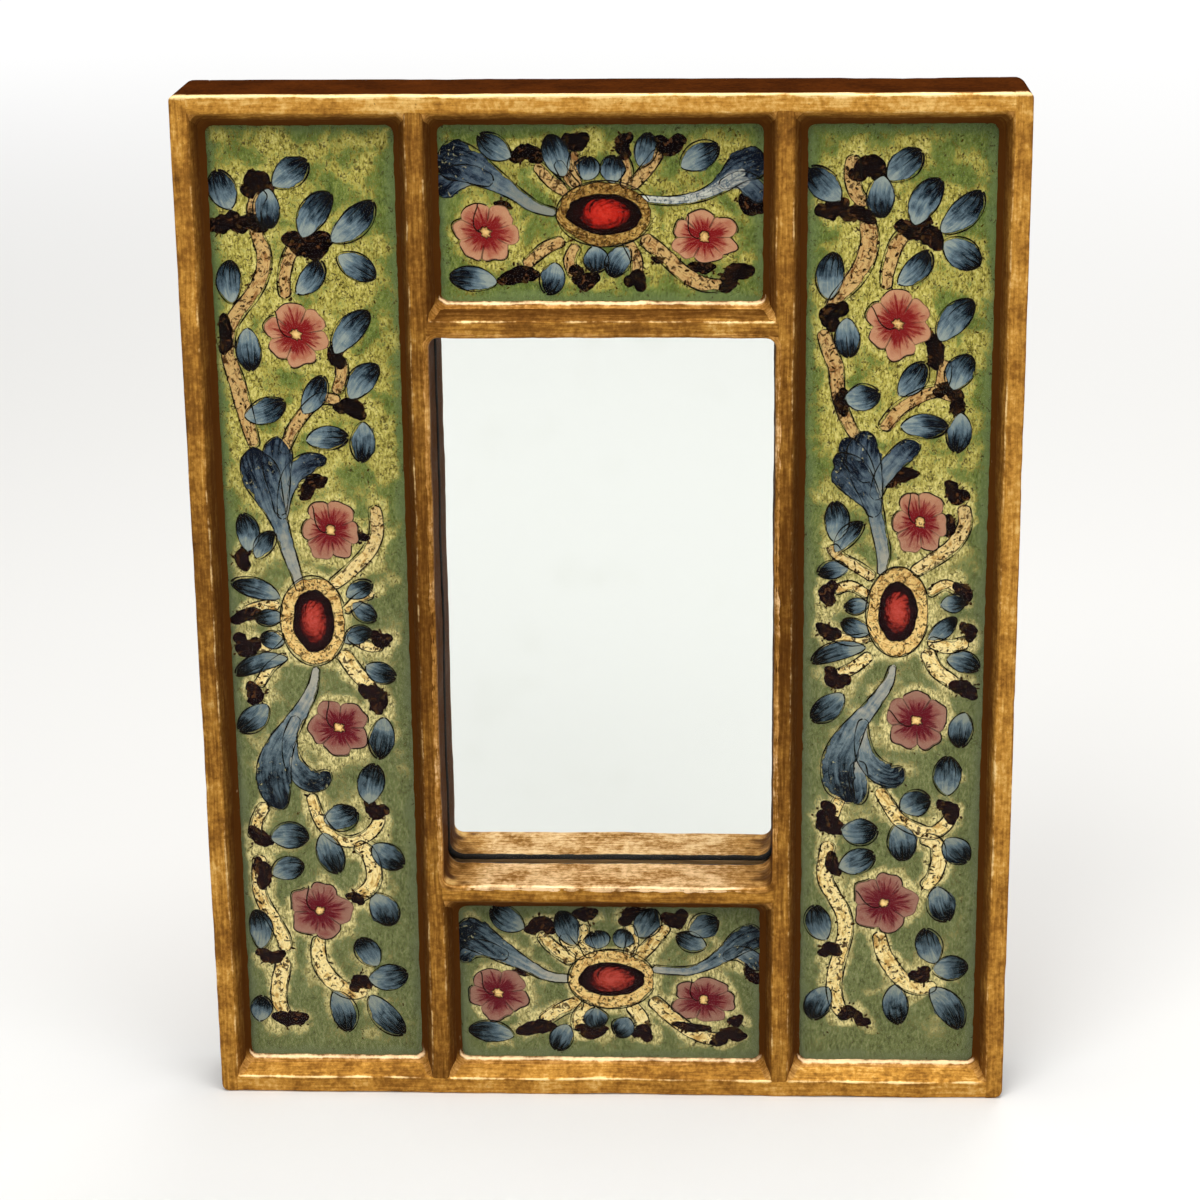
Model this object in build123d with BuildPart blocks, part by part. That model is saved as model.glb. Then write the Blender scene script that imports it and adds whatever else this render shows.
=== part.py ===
from build123d import *
from math import atan2, cos, degrees, radians, sin
import os

# Wall mirror: a gilded wooden frame with four painted glass panels round a mirror in a deep well.
# X runs from left to right as seen from the front, Y from the front to the back and Z up.
# The origin is the middle of the bottom edge.

os.makedirs("parts", exist_ok=True)

# ---------------------------------------------------------------- driving dimensions (mm)
# Overall frame
width = 240.0
height = 309.0
depth = 25.0

# Mirror as seen through the well
sight_wide = 98.8
sight_tall = 169.6

# Bars: the flat face of each, and how far its side slopes out down to the glass
stile_face = 5.3
rail_face = 5.3
divider_face = 5.0
crossbar_face = 5.0
upright_slope = 2.6
rail_slope = 3.3
arris_radius = 0.9
back_arris_radius = 0.8

# Painted glass panels, from the front: recess, pane, paint film, foil
recess = 6.5
pane_thick = 2.0
paint_film = 0.2
foil_thick = 0.3
pane_clearance = 0.3

# Putty bead on the edge of each pane
bead_wide = 1.0
bead_tall = 1.1
bead_corner_radius = 2.6
bead_angle = 30.0

# Gesso lining of the mirror well
lining_thick = 1.2
lip_corner_radius = 2.8
deep_corner_radius = 4.5
lip_arris = 0.4

# Mirror, its paper and the back cover, which fills its rebate flush with the back
mirror_thick = 3.0
mirror_lap = 5.0
mirror_clearance = 0.4
paper_thick = 0.3
cover_thick = 2.5
cover_lap = 8.0
cover_clearance = 0.2

# Fasteners: their round sections are drawn as polygons of this many sides
fastener_sides = 8
point_bluntness = 0.85
fastener_clearance = 0.05
hole_end_room = 0.6
dowel_diameter = 6.0
dowel_length = 30.0
dowel_spacing = 26.0
dowel_sides = 12
nail_diameter = 1.6
nail_length = 30.0
nail_head_diameter = 3.0
nail_head_thick = 0.7
nail_point = 2.4
nail_spacing = 9.0
brad_diameter = 1.2
brad_length = 10.0
brad_head_diameter = 2.6
brad_head_thick = 0.5
brad_point = 1.6
brad_inset = 4.0
brads_per_side = 4
brads_per_end = 2

# Hanger: strap of sheet brass folded round a D-shaped ring
hanger_gap = 7.9
ring_wire = 2.0
ring_inner_wide = 14.0
ring_inner_deep = 11.5
ring_corner_radius = 2.0
ring_lean = 8.0
wire_sides = 10
knuckle_clearance = 0.05
strap_sheet = 0.8
strap_wide = 9.0
strap_length = 24.0
strap_fold_run = 4.5
screw_drop = 19.0
screw_diameter = 3.0
screw_length = 12.0
screw_point = 2.5
screw_head_diameter = 6.0
screw_head_thick = 1.9
screw_head_arris = 0.7
screw_slot_wide = 0.9
screw_slot_turn = 20.0
screw_slot_deep = 0.9

# ---------------------------------------------------------------- levels and places
front_y = -depth / 2
back_y = depth / 2
glass_y = front_y + recess
pane_back_y = glass_y + pane_thick
foil_y = pane_back_y + paint_film
seat_y = foil_y + foil_thick
cover_y = back_y - cover_thick
paper_y = cover_y - paper_thick
mirror_y = paper_y - mirror_thick

middle_z = height / 2
stile_foot = stile_face + upright_slope
rail_foot = rail_face + rail_slope
divider_x = sight_wide / 2 + divider_face / 2
divider_foot = divider_face / 2 + upright_slope

# Hole through the wood, which the lining fills
well_wide = sight_wide + 2 * lining_thick
well_tall = sight_tall + 2 * lining_thick
well_top = middle_z + well_tall / 2
well_bottom = middle_z - well_tall / 2

# Rebates at the back: one for the mirror and its paper, a wider one for the cover
mirror_wide = well_wide + 2 * mirror_lap
mirror_tall = well_tall + 2 * mirror_lap
pocket_wide = mirror_wide + 2 * mirror_clearance
pocket_tall = mirror_tall + 2 * mirror_clearance
cover_wide = pocket_wide + 2 * cover_lap
cover_tall = pocket_tall + 2 * cover_lap
cover_rebate_wide = cover_wide + 2 * cover_clearance
cover_rebate_tall = cover_tall + 2 * cover_clearance

core_half_wide = width / 2 - stile_foot
core_top = height - rail_foot
core_bottom = rail_foot

pivot_z = middle_z + cover_rebate_tall / 2 + hanger_gap + strap_length
knuckle_radius = ring_wire / 2 + knuckle_clearance + strap_sheet
pivot_y = back_y + knuckle_radius
screw_z = pivot_z - screw_drop
strap_thick = 2 * strap_sheet


def facing_front(y):
    """The upright plane at depth y, seen from the front: X to the right and Z up."""
    return Plane.XZ.offset(-y)


def save(piece, name):
    """Names a finished piece and writes its STEP file."""
    piece.part.label = name
    export_step(piece.part, f"parts/{name}.step")


def nail_shape(diameter, length, head_diameter, head_thick, point):
    """A nail, brad or screw blank along +Z: the head's top at the origin, the point at the far end."""
    point_angle = degrees(atan2(diameter / 2, point)) * point_bluntness
    with BuildPart() as shape:
        with BuildSketch(Plane.XY):
            RegularPolygon(head_diameter / 2, fastener_sides)
        extrude(amount=head_thick)
        with BuildSketch(Plane.XY.offset(head_thick)):
            RegularPolygon(diameter / 2, fastener_sides)
        extrude(amount=length - point - head_thick)
        with BuildSketch(Plane.XY.offset(length - point)):
            RegularPolygon(diameter / 2, fastener_sides)
        extrude(amount=point, taper=point_angle)
    return shape.part


def nail_bore(diameter, length, head_diameter, head_thick):
    """The hole for that nail, along +Z from the surface that its head is flush with."""
    with BuildPart() as bore:
        with BuildSketch(Plane.XY):
            RegularPolygon(head_diameter / 2 + fastener_clearance, fastener_sides)
        extrude(amount=head_thick)
        with BuildSketch(Plane.XY):
            RegularPolygon(diameter / 2 + fastener_clearance, fastener_sides)
        extrude(amount=length + hole_end_room)
    return bore.part


# ---------------------------------------------------------------- fasteners and their places
corner_nail = nail_shape(nail_diameter, nail_length, nail_head_diameter, nail_head_thick, nail_point)
corner_nail_bore = nail_bore(nail_diameter, nail_length, nail_head_diameter, nail_head_thick)
corner_nail_places = [
    Location((side * width / 2, row * nail_spacing / 2, z), (0, -side * 90, 0))
    for side in (-1, 1)
    for row in (-1, 1)
    for z in (rail_foot / 2, height - rail_foot / 2)
]

cover_brad = nail_shape(brad_diameter, brad_length, brad_head_diameter, brad_head_thick, brad_point)
cover_brad_bore = nail_bore(brad_diameter, brad_length, brad_head_diameter, brad_head_thick)
brad_x = cover_wide / 2 - brad_inset
brad_z = cover_tall / 2 - brad_inset
brad_side_pitch = 2 * brad_z / (brads_per_side - 1)
brad_end_pitch = 2 * brad_x / (brads_per_end + 1)
brad_points = [
    (side * brad_x, middle_z - brad_z + i * brad_side_pitch)
    for side in (-1, 1)
    for i in range(brads_per_side)
] + [
    (-brad_x + (i + 1) * brad_end_pitch, middle_z + end * brad_z)
    for end in (-1, 1)
    for i in range(brads_per_end)
]
brad_places = [Location((x, back_y, z), (90, 0, 0)) for x, z in brad_points]

dowel_y = (seat_y + mirror_y) / 2
dowel_middle_x = (core_half_wide + well_wide / 2) / 2
dowel_places = [
    Location((side * dowel_middle_x + step * dowel_spacing / 2, dowel_y, z))
    for side in (-1, 1)
    for step in (-1, 1)
    for z in (well_bottom, well_top)
]

with BuildPart() as dowel_bore:
    with BuildSketch(Plane.XY):
        RegularPolygon(dowel_diameter / 2 + fastener_clearance, dowel_sides)
    extrude(amount=dowel_length / 2 + hole_end_room, both=True)

with BuildPart() as dowel_bores:
    with Locations(*dowel_places):
        add(dowel_bore.part)

with BuildPart() as corner_nail_bores:
    with Locations(*corner_nail_places):
        add(corner_nail_bore)

with BuildPart() as brad_bores:
    with Locations(*brad_places):
        add(cover_brad_bore)

screw_reach = screw_length - screw_head_thick - strap_thick

# ---------------------------------------------------------------- outer frame
# The stiles run the full height. Each is one stick from front to back, sloped on its inner side.
stiles = []
for side, name in ((-1, "left_stile"), (1, "right_stile")):
    with BuildPart() as stile:
        with BuildSketch(Plane.XY):
            with BuildLine():
                Polyline(
                    (side * width / 2, front_y),
                    (side * (width / 2 - stile_face), front_y),
                    (side * (width / 2 - stile_foot), glass_y),
                    (side * (width / 2 - stile_foot), back_y),
                    (side * width / 2, back_y),
                    close=True,
                )
            make_face()
        extrude(amount=height)
        outer_side = stile.faces().sort_by(Axis.X)[0 if side < 0 else -1]
        front_edges = stile.faces().sort_by(Axis.Y)[0].edges()
        back_edge = outer_side.edges().filter_by(Axis.Z).sort_by(Axis.Y)[-1]
        fillet(back_edge, radius=back_arris_radius)
        fillet(front_edges, radius=arris_radius)
        add(corner_nail_bores.part, mode=Mode.SUBTRACT)
    save(stile, name)
    stiles.append(stile.part)

# The rails butt against the stiles, and their ends are scribed to the stiles' slopes.
rails = []
for end, name in ((1, "top_rail"), (-1, "bottom_rail")):
    outer_z = height if end > 0 else 0.0
    with BuildPart() as rail:
        with BuildSketch(Plane.YZ):
            with BuildLine():
                Polyline(
                    (front_y, outer_z),
                    (front_y, outer_z - end * rail_face),
                    (glass_y, outer_z - end * rail_foot),
                    (back_y, outer_z - end * rail_foot),
                    (back_y, outer_z),
                    close=True,
                )
            make_face()
        extrude(amount=width / 2 - stile_face, both=True)
        outer_edge = rail.faces().sort_by(Axis.Z)[-1 if end > 0 else 0].edges().filter_by(Axis.X)
        fillet(outer_edge.sort_by(Axis.Y)[-1], radius=back_arris_radius)
        fillet(rail.faces().sort_by(Axis.Y)[0].edges().filter_by(Axis.X), radius=arris_radius)
        for stile_part in stiles:
            add(stile_part, mode=Mode.SUBTRACT)
        add(corner_nail_bores.part, mode=Mode.SUBTRACT)
    save(rail, name)
    rails.append(rail.part)

# ---------------------------------------------------------------- bars round the mirror
with BuildPart() as well_core:
    with BuildSketch(facing_front(back_y)):
        with Locations((0, middle_z)):
            Rectangle(well_wide, well_tall)
    extrude(amount=depth)

# The dividers run from rail to rail. Both sides slope, but beside the well the lining replaces one.
dividers = []
for side, name in ((-1, "left_divider"), (1, "right_divider")):
    middle_x = side * divider_x
    with BuildPart() as divider:
        with BuildSketch(Plane.XY.offset(rail_face)):
            with BuildLine():
                Polyline(
                    (middle_x - divider_face / 2, front_y),
                    (middle_x + divider_face / 2, front_y),
                    (middle_x + divider_foot, glass_y),
                    (middle_x + divider_foot, seat_y),
                    (middle_x - divider_foot, seat_y),
                    (middle_x - divider_foot, glass_y),
                    close=True,
                )
            make_face()
        extrude(amount=height - 2 * rail_face)
        fillet(divider.faces().sort_by(Axis.Y)[0].edges().filter_by(Axis.Z), radius=arris_radius)
        add(well_core.part, mode=Mode.SUBTRACT)
        for rail_part in rails:
            add(rail_part, mode=Mode.SUBTRACT)
    save(divider, name)
    dividers.append(divider.part)

# The crossbars are scribed between the dividers and slope on the panel's side only.
crossbars = []
for end, name in ((1, "upper_crossbar"), (-1, "lower_crossbar")):
    lip_z = middle_z + end * sight_tall / 2
    face_z = lip_z + end * crossbar_face
    with BuildPart() as crossbar:
        with BuildSketch(Plane.YZ):
            with BuildLine():
                Polyline(
                    (front_y, lip_z),
                    (front_y, face_z),
                    (glass_y, face_z + end * rail_slope),
                    (seat_y, face_z + end * rail_slope),
                    (seat_y, lip_z),
                    close=True,
                )
            make_face()
        extrude(amount=sight_wide / 2, both=True)
        panel_arris = crossbar.faces().sort_by(Axis.Y)[0].edges().filter_by(Axis.X)
        fillet(panel_arris.sort_by(Axis.Z)[-1 if end > 0 else 0], radius=arris_radius)
        add(well_core.part, mode=Mode.SUBTRACT)
        for divider_part in dividers:
            add(divider_part, mode=Mode.SUBTRACT)
    save(crossbar, name)
    crossbars.append(crossbar.part)

# The gesso lining is flush with the bars. Its corners open out from the lip to the mirror, and its
# lip has a small bevel.
with BuildPart() as well_lining:
    with BuildSketch(facing_front(mirror_y)):
        with Locations((0, middle_z)):
            Rectangle(well_wide, well_tall)
    extrude(amount=mirror_y - front_y)
    with BuildSketch(facing_front(mirror_y)):
        with Locations((0, middle_z)):
            RectangleRounded(sight_wide, sight_tall, deep_corner_radius)
    with BuildSketch(facing_front(front_y + lip_arris)) as lip:
        with Locations((0, middle_z)):
            RectangleRounded(sight_wide, sight_tall, lip_corner_radius)
    loft(mode=Mode.SUBTRACT)
    add(lip.sketch)
    with BuildSketch(facing_front(front_y)):
        with Locations((0, middle_z)):
            RectangleRounded(
                sight_wide + 2 * lip_arris,
                sight_tall + 2 * lip_arris,
                lip_corner_radius + lip_arris,
            )
    loft(mode=Mode.SUBTRACT)
save(well_lining, "well_lining")

# ---------------------------------------------------------------- core boards
board_spans = {
    "top_board": (-core_half_wide, core_half_wide, well_top, core_top),
    "bottom_board": (-core_half_wide, core_half_wide, core_bottom, well_bottom),
    "left_board": (-core_half_wide, -well_wide / 2, well_bottom, well_top),
    "right_board": (well_wide / 2, core_half_wide, well_bottom, well_top),
}
for name, (x0, x1, z0, z1) in board_spans.items():
    with BuildPart() as board:
        with BuildSketch(facing_front(back_y)):
            with Locations(((x0 + x1) / 2, (z0 + z1) / 2)):
                Rectangle(x1 - x0, z1 - z0)
        extrude(amount=back_y - seat_y)
        with BuildSketch(facing_front(back_y)):
            with Locations((0, middle_z)):
                Rectangle(pocket_wide, pocket_tall)
        extrude(amount=back_y - mirror_y, mode=Mode.SUBTRACT)
        with BuildSketch(facing_front(back_y)):
            with Locations((0, middle_z)):
                Rectangle(cover_rebate_wide, cover_rebate_tall)
        extrude(amount=cover_thick, mode=Mode.SUBTRACT)
        add(dowel_bores.part, mode=Mode.SUBTRACT)
        add(brad_bores.part, mode=Mode.SUBTRACT)
        add(corner_nail_bores.part, mode=Mode.SUBTRACT)
        with BuildSketch(facing_front(back_y)):
            with Locations((0, screw_z)):
                RegularPolygon(screw_diameter / 2 + fastener_clearance, fastener_sides)
        extrude(amount=screw_reach + hole_end_room, mode=Mode.SUBTRACT)
    save(board, name)

with BuildPart() as dowel:
    with BuildSketch(Plane.XY):
        RegularPolygon(dowel_diameter / 2, dowel_sides)
    extrude(amount=dowel_length / 2, both=True)

with BuildPart() as board_dowels:
    with Locations(*dowel_places):
        add(dowel.part)
save(board_dowels, "board_dowels")

with BuildPart() as corner_nails:
    with Locations(*corner_nail_places):
        add(corner_nail)
save(corner_nails, "corner_nails")

# ---------------------------------------------------------------- painted glass panels
side_inner_x = divider_x + divider_foot
top_inner_x = divider_x - divider_foot
crossbar_foot_z = sight_tall / 2 + crossbar_face + rail_slope
panel_spans = {
    "left": (-core_half_wide, -side_inner_x, core_bottom, core_top),
    "right": (side_inner_x, core_half_wide, core_bottom, core_top),
    "top": (-top_inner_x, top_inner_x, middle_z + crossbar_foot_z, core_top),
    "bottom": (-top_inner_x, top_inner_x, core_bottom, middle_z - crossbar_foot_z),
}
for panel, (x0, x1, z0, z1) in panel_spans.items():
    centre = ((x0 + x1) / 2, (z0 + z1) / 2)
    open_wide = x1 - x0
    open_tall = z1 - z0

    with BuildPart() as pane:
        with BuildSketch(facing_front(pane_back_y)):
            with Locations(centre):
                Rectangle(open_wide - 2 * pane_clearance, open_tall - 2 * pane_clearance)
        extrude(amount=pane_thick)
    save(pane, f"{panel}_pane")

    with BuildPart() as foil:
        with BuildSketch(facing_front(seat_y)):
            with Locations(centre):
                Rectangle(open_wide - 2 * pane_clearance, open_tall - 2 * pane_clearance)
        extrude(amount=foil_thick)
    save(foil, f"{panel}_foil")

    with BuildPart() as bead:
        with BuildSketch(facing_front(glass_y)):
            with Locations(centre):
                Rectangle(open_wide + 2 * upright_slope, open_tall + 2 * rail_slope)
        extrude(amount=bead_tall)
        with BuildSketch(facing_front(glass_y)):
            with Locations(centre):
                RectangleRounded(
                    open_wide - 2 * bead_wide,
                    open_tall - 2 * bead_wide,
                    bead_corner_radius,
                )
        extrude(amount=bead_tall, taper=-bead_angle, mode=Mode.SUBTRACT)
        for bar in stiles + rails + dividers + crossbars:
            add(bar, mode=Mode.SUBTRACT)
    save(bead, f"{panel}_bead")

# ---------------------------------------------------------------- mirror and back
with BuildPart() as mirror_plate:
    with BuildSketch(facing_front(paper_y)):
        with Locations((0, middle_z)):
            Rectangle(mirror_wide, mirror_tall)
    extrude(amount=mirror_thick)
save(mirror_plate, "mirror_plate")

with BuildPart() as mirror_paper:
    with BuildSketch(facing_front(cover_y)):
        with Locations((0, middle_z)):
            Rectangle(mirror_wide, mirror_tall)
    extrude(amount=paper_thick)
save(mirror_paper, "mirror_paper")

with BuildPart() as back_cover:
    with BuildSketch(facing_front(back_y)):
        with Locations((0, middle_z)):
            Rectangle(cover_wide, cover_tall)
    extrude(amount=cover_thick)
    add(brad_bores.part, mode=Mode.SUBTRACT)
save(back_cover, "back_cover")

with BuildPart() as cover_brads:
    with Locations(*brad_places):
        add(cover_brad)
save(cover_brads, "cover_brads")

# ---------------------------------------------------------------- hanger
# One strip of brass is folded double round the ring's straight bar and screwed to the top board.
with BuildPart() as hanger_strap:
    with BuildSketch(Plane.YZ):
        with Locations((pivot_y, pivot_z)):
            Circle(knuckle_radius)
        with BuildLine():
            Polyline(
                (back_y, pivot_z),
                (back_y + 2 * knuckle_radius, pivot_z),
                (back_y + strap_thick, pivot_z - strap_fold_run),
                (back_y + strap_thick, pivot_z - strap_length),
                (back_y, pivot_z - strap_length),
                close=True,
            )
        make_face()
    extrude(amount=strap_wide / 2, both=True)
    foot_edges = hanger_strap.faces().sort_by(Axis.Z)[0].edges().filter_by(Axis.Y)
    fillet(foot_edges, radius=strap_wide / 2 - strap_sheet)
    with Locations(Location((0, pivot_y, pivot_z), (0, 90, 0))):
        Cylinder(ring_wire / 2 + knuckle_clearance, strap_wide, mode=Mode.SUBTRACT)
    with BuildSketch(facing_front(back_y + strap_thick)):
        with Locations((0, screw_z)):
            RegularPolygon(screw_diameter / 2 + fastener_clearance, fastener_sides)
    extrude(amount=strap_thick, mode=Mode.SUBTRACT)
save(hanger_strap, "hanger_strap")

screw_blank = nail_shape(
    screw_diameter, screw_length, screw_head_diameter, screw_head_thick, screw_point
)
with BuildPart() as hanger_screw:
    with Locations(Location((0, back_y + strap_thick + screw_head_thick, screw_z), (90, 0, 0))):
        add(screw_blank)
    chamfer(hanger_screw.faces().sort_by(Axis.Y)[-1].edges(), length=screw_head_arris)
    with BuildSketch(facing_front(back_y + strap_thick + screw_head_thick)):
        with Locations((0, screw_z)):
            Rectangle(screw_head_diameter, screw_slot_wide, rotation=screw_slot_turn)
    extrude(amount=screw_slot_deep, mode=Mode.SUBTRACT)
save(hanger_screw, "hanger_screw")

# The ring hangs down over the strap and leans out a little, as the strap's fold holds it.
ring_plane = Plane(
    origin=(0, pivot_y, pivot_z),
    x_dir=(1, 0, 0),
    z_dir=(0, -cos(radians(ring_lean)), -sin(radians(ring_lean))),
)
ring_half = ring_inner_wide / 2 + ring_wire / 2
ring_arch_start = ring_half - ring_wire / 2 - ring_inner_deep
with BuildPart() as hanger_ring:
    with BuildLine(ring_plane) as ring_path:
        bar = Line((ring_corner_radius - ring_half, 0), (ring_half - ring_corner_radius, 0))
        right_turn = TangentArc(bar @ 1, (ring_half, -ring_corner_radius), tangent=bar % 1)
        right_leg = Line(right_turn @ 1, (ring_half, ring_arch_start))
        arch = TangentArc(right_leg @ 1, (-ring_half, ring_arch_start), tangent=right_leg % 1)
        left_leg = Line(arch @ 1, (-ring_half, -ring_corner_radius))
        TangentArc(left_leg @ 1, bar @ 0, tangent=left_leg % 1)
    with BuildSketch(Plane(origin=ring_path.line @ 0, z_dir=ring_path.line % 0)):
        RegularPolygon(ring_wire / 2, wire_sides)
    sweep(transition=Transition.ROUND)
save(hanger_ring, "hanger_ring")
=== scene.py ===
"""Looks of a gilded wall mirror with four painted glass panels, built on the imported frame.

Lengths are in millimetres until a mesh is made. X runs right, Y from front to back and Z up.
"""

from __future__ import annotations

import logging
import random
from collections.abc import Callable
from dataclasses import dataclass, field
from enum import Enum
from functools import partial
from math import acos, atan2, ceil, copysign, cos, dist, exp, hypot, pi, radians, sin, tan

import bmesh
import bpy
import numpy as np
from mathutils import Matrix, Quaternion, Vector, noise


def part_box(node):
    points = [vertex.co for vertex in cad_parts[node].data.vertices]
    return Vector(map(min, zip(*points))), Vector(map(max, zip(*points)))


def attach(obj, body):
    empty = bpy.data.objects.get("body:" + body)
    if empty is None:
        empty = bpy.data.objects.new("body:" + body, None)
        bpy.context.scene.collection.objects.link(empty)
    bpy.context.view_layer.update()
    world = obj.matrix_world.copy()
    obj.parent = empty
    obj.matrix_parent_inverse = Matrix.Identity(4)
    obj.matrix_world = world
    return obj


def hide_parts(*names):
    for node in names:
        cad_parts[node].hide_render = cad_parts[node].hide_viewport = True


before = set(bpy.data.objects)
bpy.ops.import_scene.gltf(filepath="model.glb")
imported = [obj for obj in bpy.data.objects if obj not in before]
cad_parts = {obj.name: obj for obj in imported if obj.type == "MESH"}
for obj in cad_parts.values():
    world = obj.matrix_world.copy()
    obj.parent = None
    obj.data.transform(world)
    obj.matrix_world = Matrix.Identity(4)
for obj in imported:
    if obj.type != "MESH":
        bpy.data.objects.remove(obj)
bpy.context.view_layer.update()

log = logging.getLogger("wall_mirror")

# The vector noise takes its offsets from the clock unless it is seeded.
noise.seed_set(11)

MM = 0.001
Pair = tuple[float, float]
Triple = tuple[float, float, float]
Row = tuple[float, ...]
Span = tuple[float, float, float, float]
Dab = tuple[float, float, float, float, float]
Stroke = list[Triple]
Finish = bpy.types.Material
Piece = bpy.types.Object
Socket = bpy.types.NodeSocket
Adder = Callable[..., Socket]

# The colour Mix node's inputs, and settings that many nodes share.
FROM, TO = 6, 7
COLOURS = {"output": 2, "data_type": "RGBA"}
SUM = {"operation": "MULTIPLY_ADD"}
PRODUCT = {"operation": "MULTIPLY"}
SOFT = {"interpolation_type": "SMOOTHSTEP"}

# What meshes tell their finishes at each point.
WEAR_LIGHT_AND_SHADE = ("wear_and_highlight", "shade", "outer")
BRUSHED = ("edge", "along", "low")


# ---------------------------------------------------------------- small tools


def clamp(value: float) -> float:
    """Keeps a value between 0 and 1."""
    return min(max(value, 0.0), 1.0)


def bell(far: float) -> float:
    """Falls off smoothly from 1 at 0 on both sides."""
    return exp(-(far**2))


def linear(hex_colour: str) -> Span:
    """Turns an sRGB colour to the linear one that sockets take.

    Args:
        hex_colour: The colour, such as #A0B0C0.

    Returns:
        Linear red, green and blue, and an alpha of 1.
    """
    parts = [int(hex_colour[i : i + 2], 16) / 255 for i in (1, 3, 5)]
    red, green, blue = (p / 12.92 if p <= 0.04045 else ((p + 0.055) / 1.055) ** 2.4 for p in parts)
    return red, green, blue, 1.0


def add_node(
    tree: bpy.types.NodeTree,
    kind: str,
    inputs: dict | None = None,
    output: str | int = 0,
    stops: tuple[tuple[float, str], ...] = (),
    **settings: object,
) -> Socket | None:
    """Adds one node with its settings, values and links.

    Args:
        tree: The node tree.
        kind: The node's type name, without the ShaderNode that they all start with.
        inputs: For each input, a value, a hex colour or the socket to link from.
        output: The output to hand back.
        stops: Places and hex colours for a colour ramp.
        settings: The node's own properties.

    Returns:
        The output, or None where the node has none.
    """
    node = tree.nodes.new(f"ShaderNode{kind}")
    for name, value in settings.items():
        setattr(node, name, value)
    for number, (place, colour) in enumerate(stops):
        elements = node.color_ramp.elements
        element = elements[number] if number < len(elements) else elements.new(place)
        element.position, element.color = place, linear(colour)
    for name, value in (inputs or {}).items():
        if isinstance(value, bpy.types.NodeSocket):
            tree.links.new(value, node.inputs[name])
        else:
            node.inputs[name].default_value = linear(value) if isinstance(value, str) else value
    return node.outputs[output] if node.outputs else None


def open_material(name: str) -> tuple[Finish, Adder]:
    """Starts an empty node material.

    Args:
        name: What the real material is.

    Returns:
        The material, and the function that adds a node to it.
    """
    material = bpy.data.materials.new(name)
    material.use_nodes = True
    material.node_tree.nodes.clear()
    return material, partial(add_node, material.node_tree)


def close_material(material: Finish, inputs: dict) -> Finish:
    """Adds the surface shader and wires it up.

    Args:
        material: The material, with its pattern nodes.
        inputs: The shader's values, hex colours or sockets.

    Returns:
        The finished material.
    """
    surface = add_node(material.node_tree, "BsdfPrincipled", inputs)
    add_node(material.node_tree, "OutputMaterial", {"Surface": surface})
    return material


def places_in_mm(add: Adder) -> Socket:
    """Gives the object's own coordinates in millimetres."""
    spot = add("TexCoord", output="Object")
    return add("VectorMath", {"Vector": spot, "Scale": 1 / MM}, operation="SCALE")


def read_values(add: Adder, *names: str) -> list[Socket]:
    """Gives the sockets that read numbers stored at a mesh's points."""
    return [add("Attribute", output="Fac", attribute_name=name) for name in names]


def hand_wobble(point: Vector, reach: float) -> Vector:
    """Gives the unevenness that hand work leaves at a place.

    Args:
        point: The place.
        reach: How far the surface may wander.

    Returns:
        The shift, the same for every piece that meets there.
    """
    slow = noise.noise_vector(point / 23.0)
    middling = noise.noise_vector(point / 6.1 + Vector((31.0, 7.0, 19.0)))
    quick = noise.noise_vector(point / 2.2 + Vector((5.0, 43.0, 11.0)))
    return (slow + middling * 0.4 + quick * 0.16) * reach


def smooth_path(points: Stroke, step: float) -> np.ndarray:
    """Runs a smooth line through points, with whatever else each point carries.

    Args:
        points: Rows whose first two numbers are the place.
        step: Spacing of the new points.

    Returns:
        The rows of the smooth line.
    """
    rows = np.array(points, float)
    padded = np.vstack([2 * rows[0] - rows[1], rows, 2 * rows[-1] - rows[-2]])
    made = []
    for i in range(len(rows) - 1):
        before, here, ahead, beyond = padded[i : i + 4]
        count = max(2, ceil(float(np.linalg.norm(ahead[:2] - here[:2])) / step))
        for t in np.arange(count) / count:
            bend = 2 * before - 5 * here + 4 * ahead - beyond
            twist = 3 * here - before - 3 * ahead + beyond
            made.append(0.5 * (2 * here + (ahead - before) * t + bend * t**2 + twist * t**3))
    made.append(rows[-1])
    return np.array(made)


def trip_along(line: np.ndarray) -> np.ndarray:
    """Gives the distance from a line's start to each of its points."""
    return np.r_[0.0, np.cumsum(np.linalg.norm(np.diff(line[:, :2], axis=0), axis=1))]


def across_line(middle: np.ndarray) -> np.ndarray:
    """Finds which way is across a flat line.

    Args:
        middle: The line's points.

    Returns:
        A unit vector at right angles to it for each point.
    """
    heading = np.gradient(middle, axis=0)
    heading /= np.maximum(np.linalg.norm(heading, axis=1, keepdims=True), 1e-6)
    return np.stack([heading[:, 1], -heading[:, 0]], axis=-1)


def name_number(name: str) -> int:
    """Gives a word a fixed number, the same on every run."""
    return sum((i + 1) * ord(c) for i, c in enumerate(name))


def cornered(span: Span, radius: float) -> list[Triple]:
    """Gives the four corners of a rectangle, each with the same radius."""
    x0, x1, z0, z1 = span
    return [(x, z, radius) for x, z in ((x0, z0), (x1, z0), (x1, z1), (x0, z1))]


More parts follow.
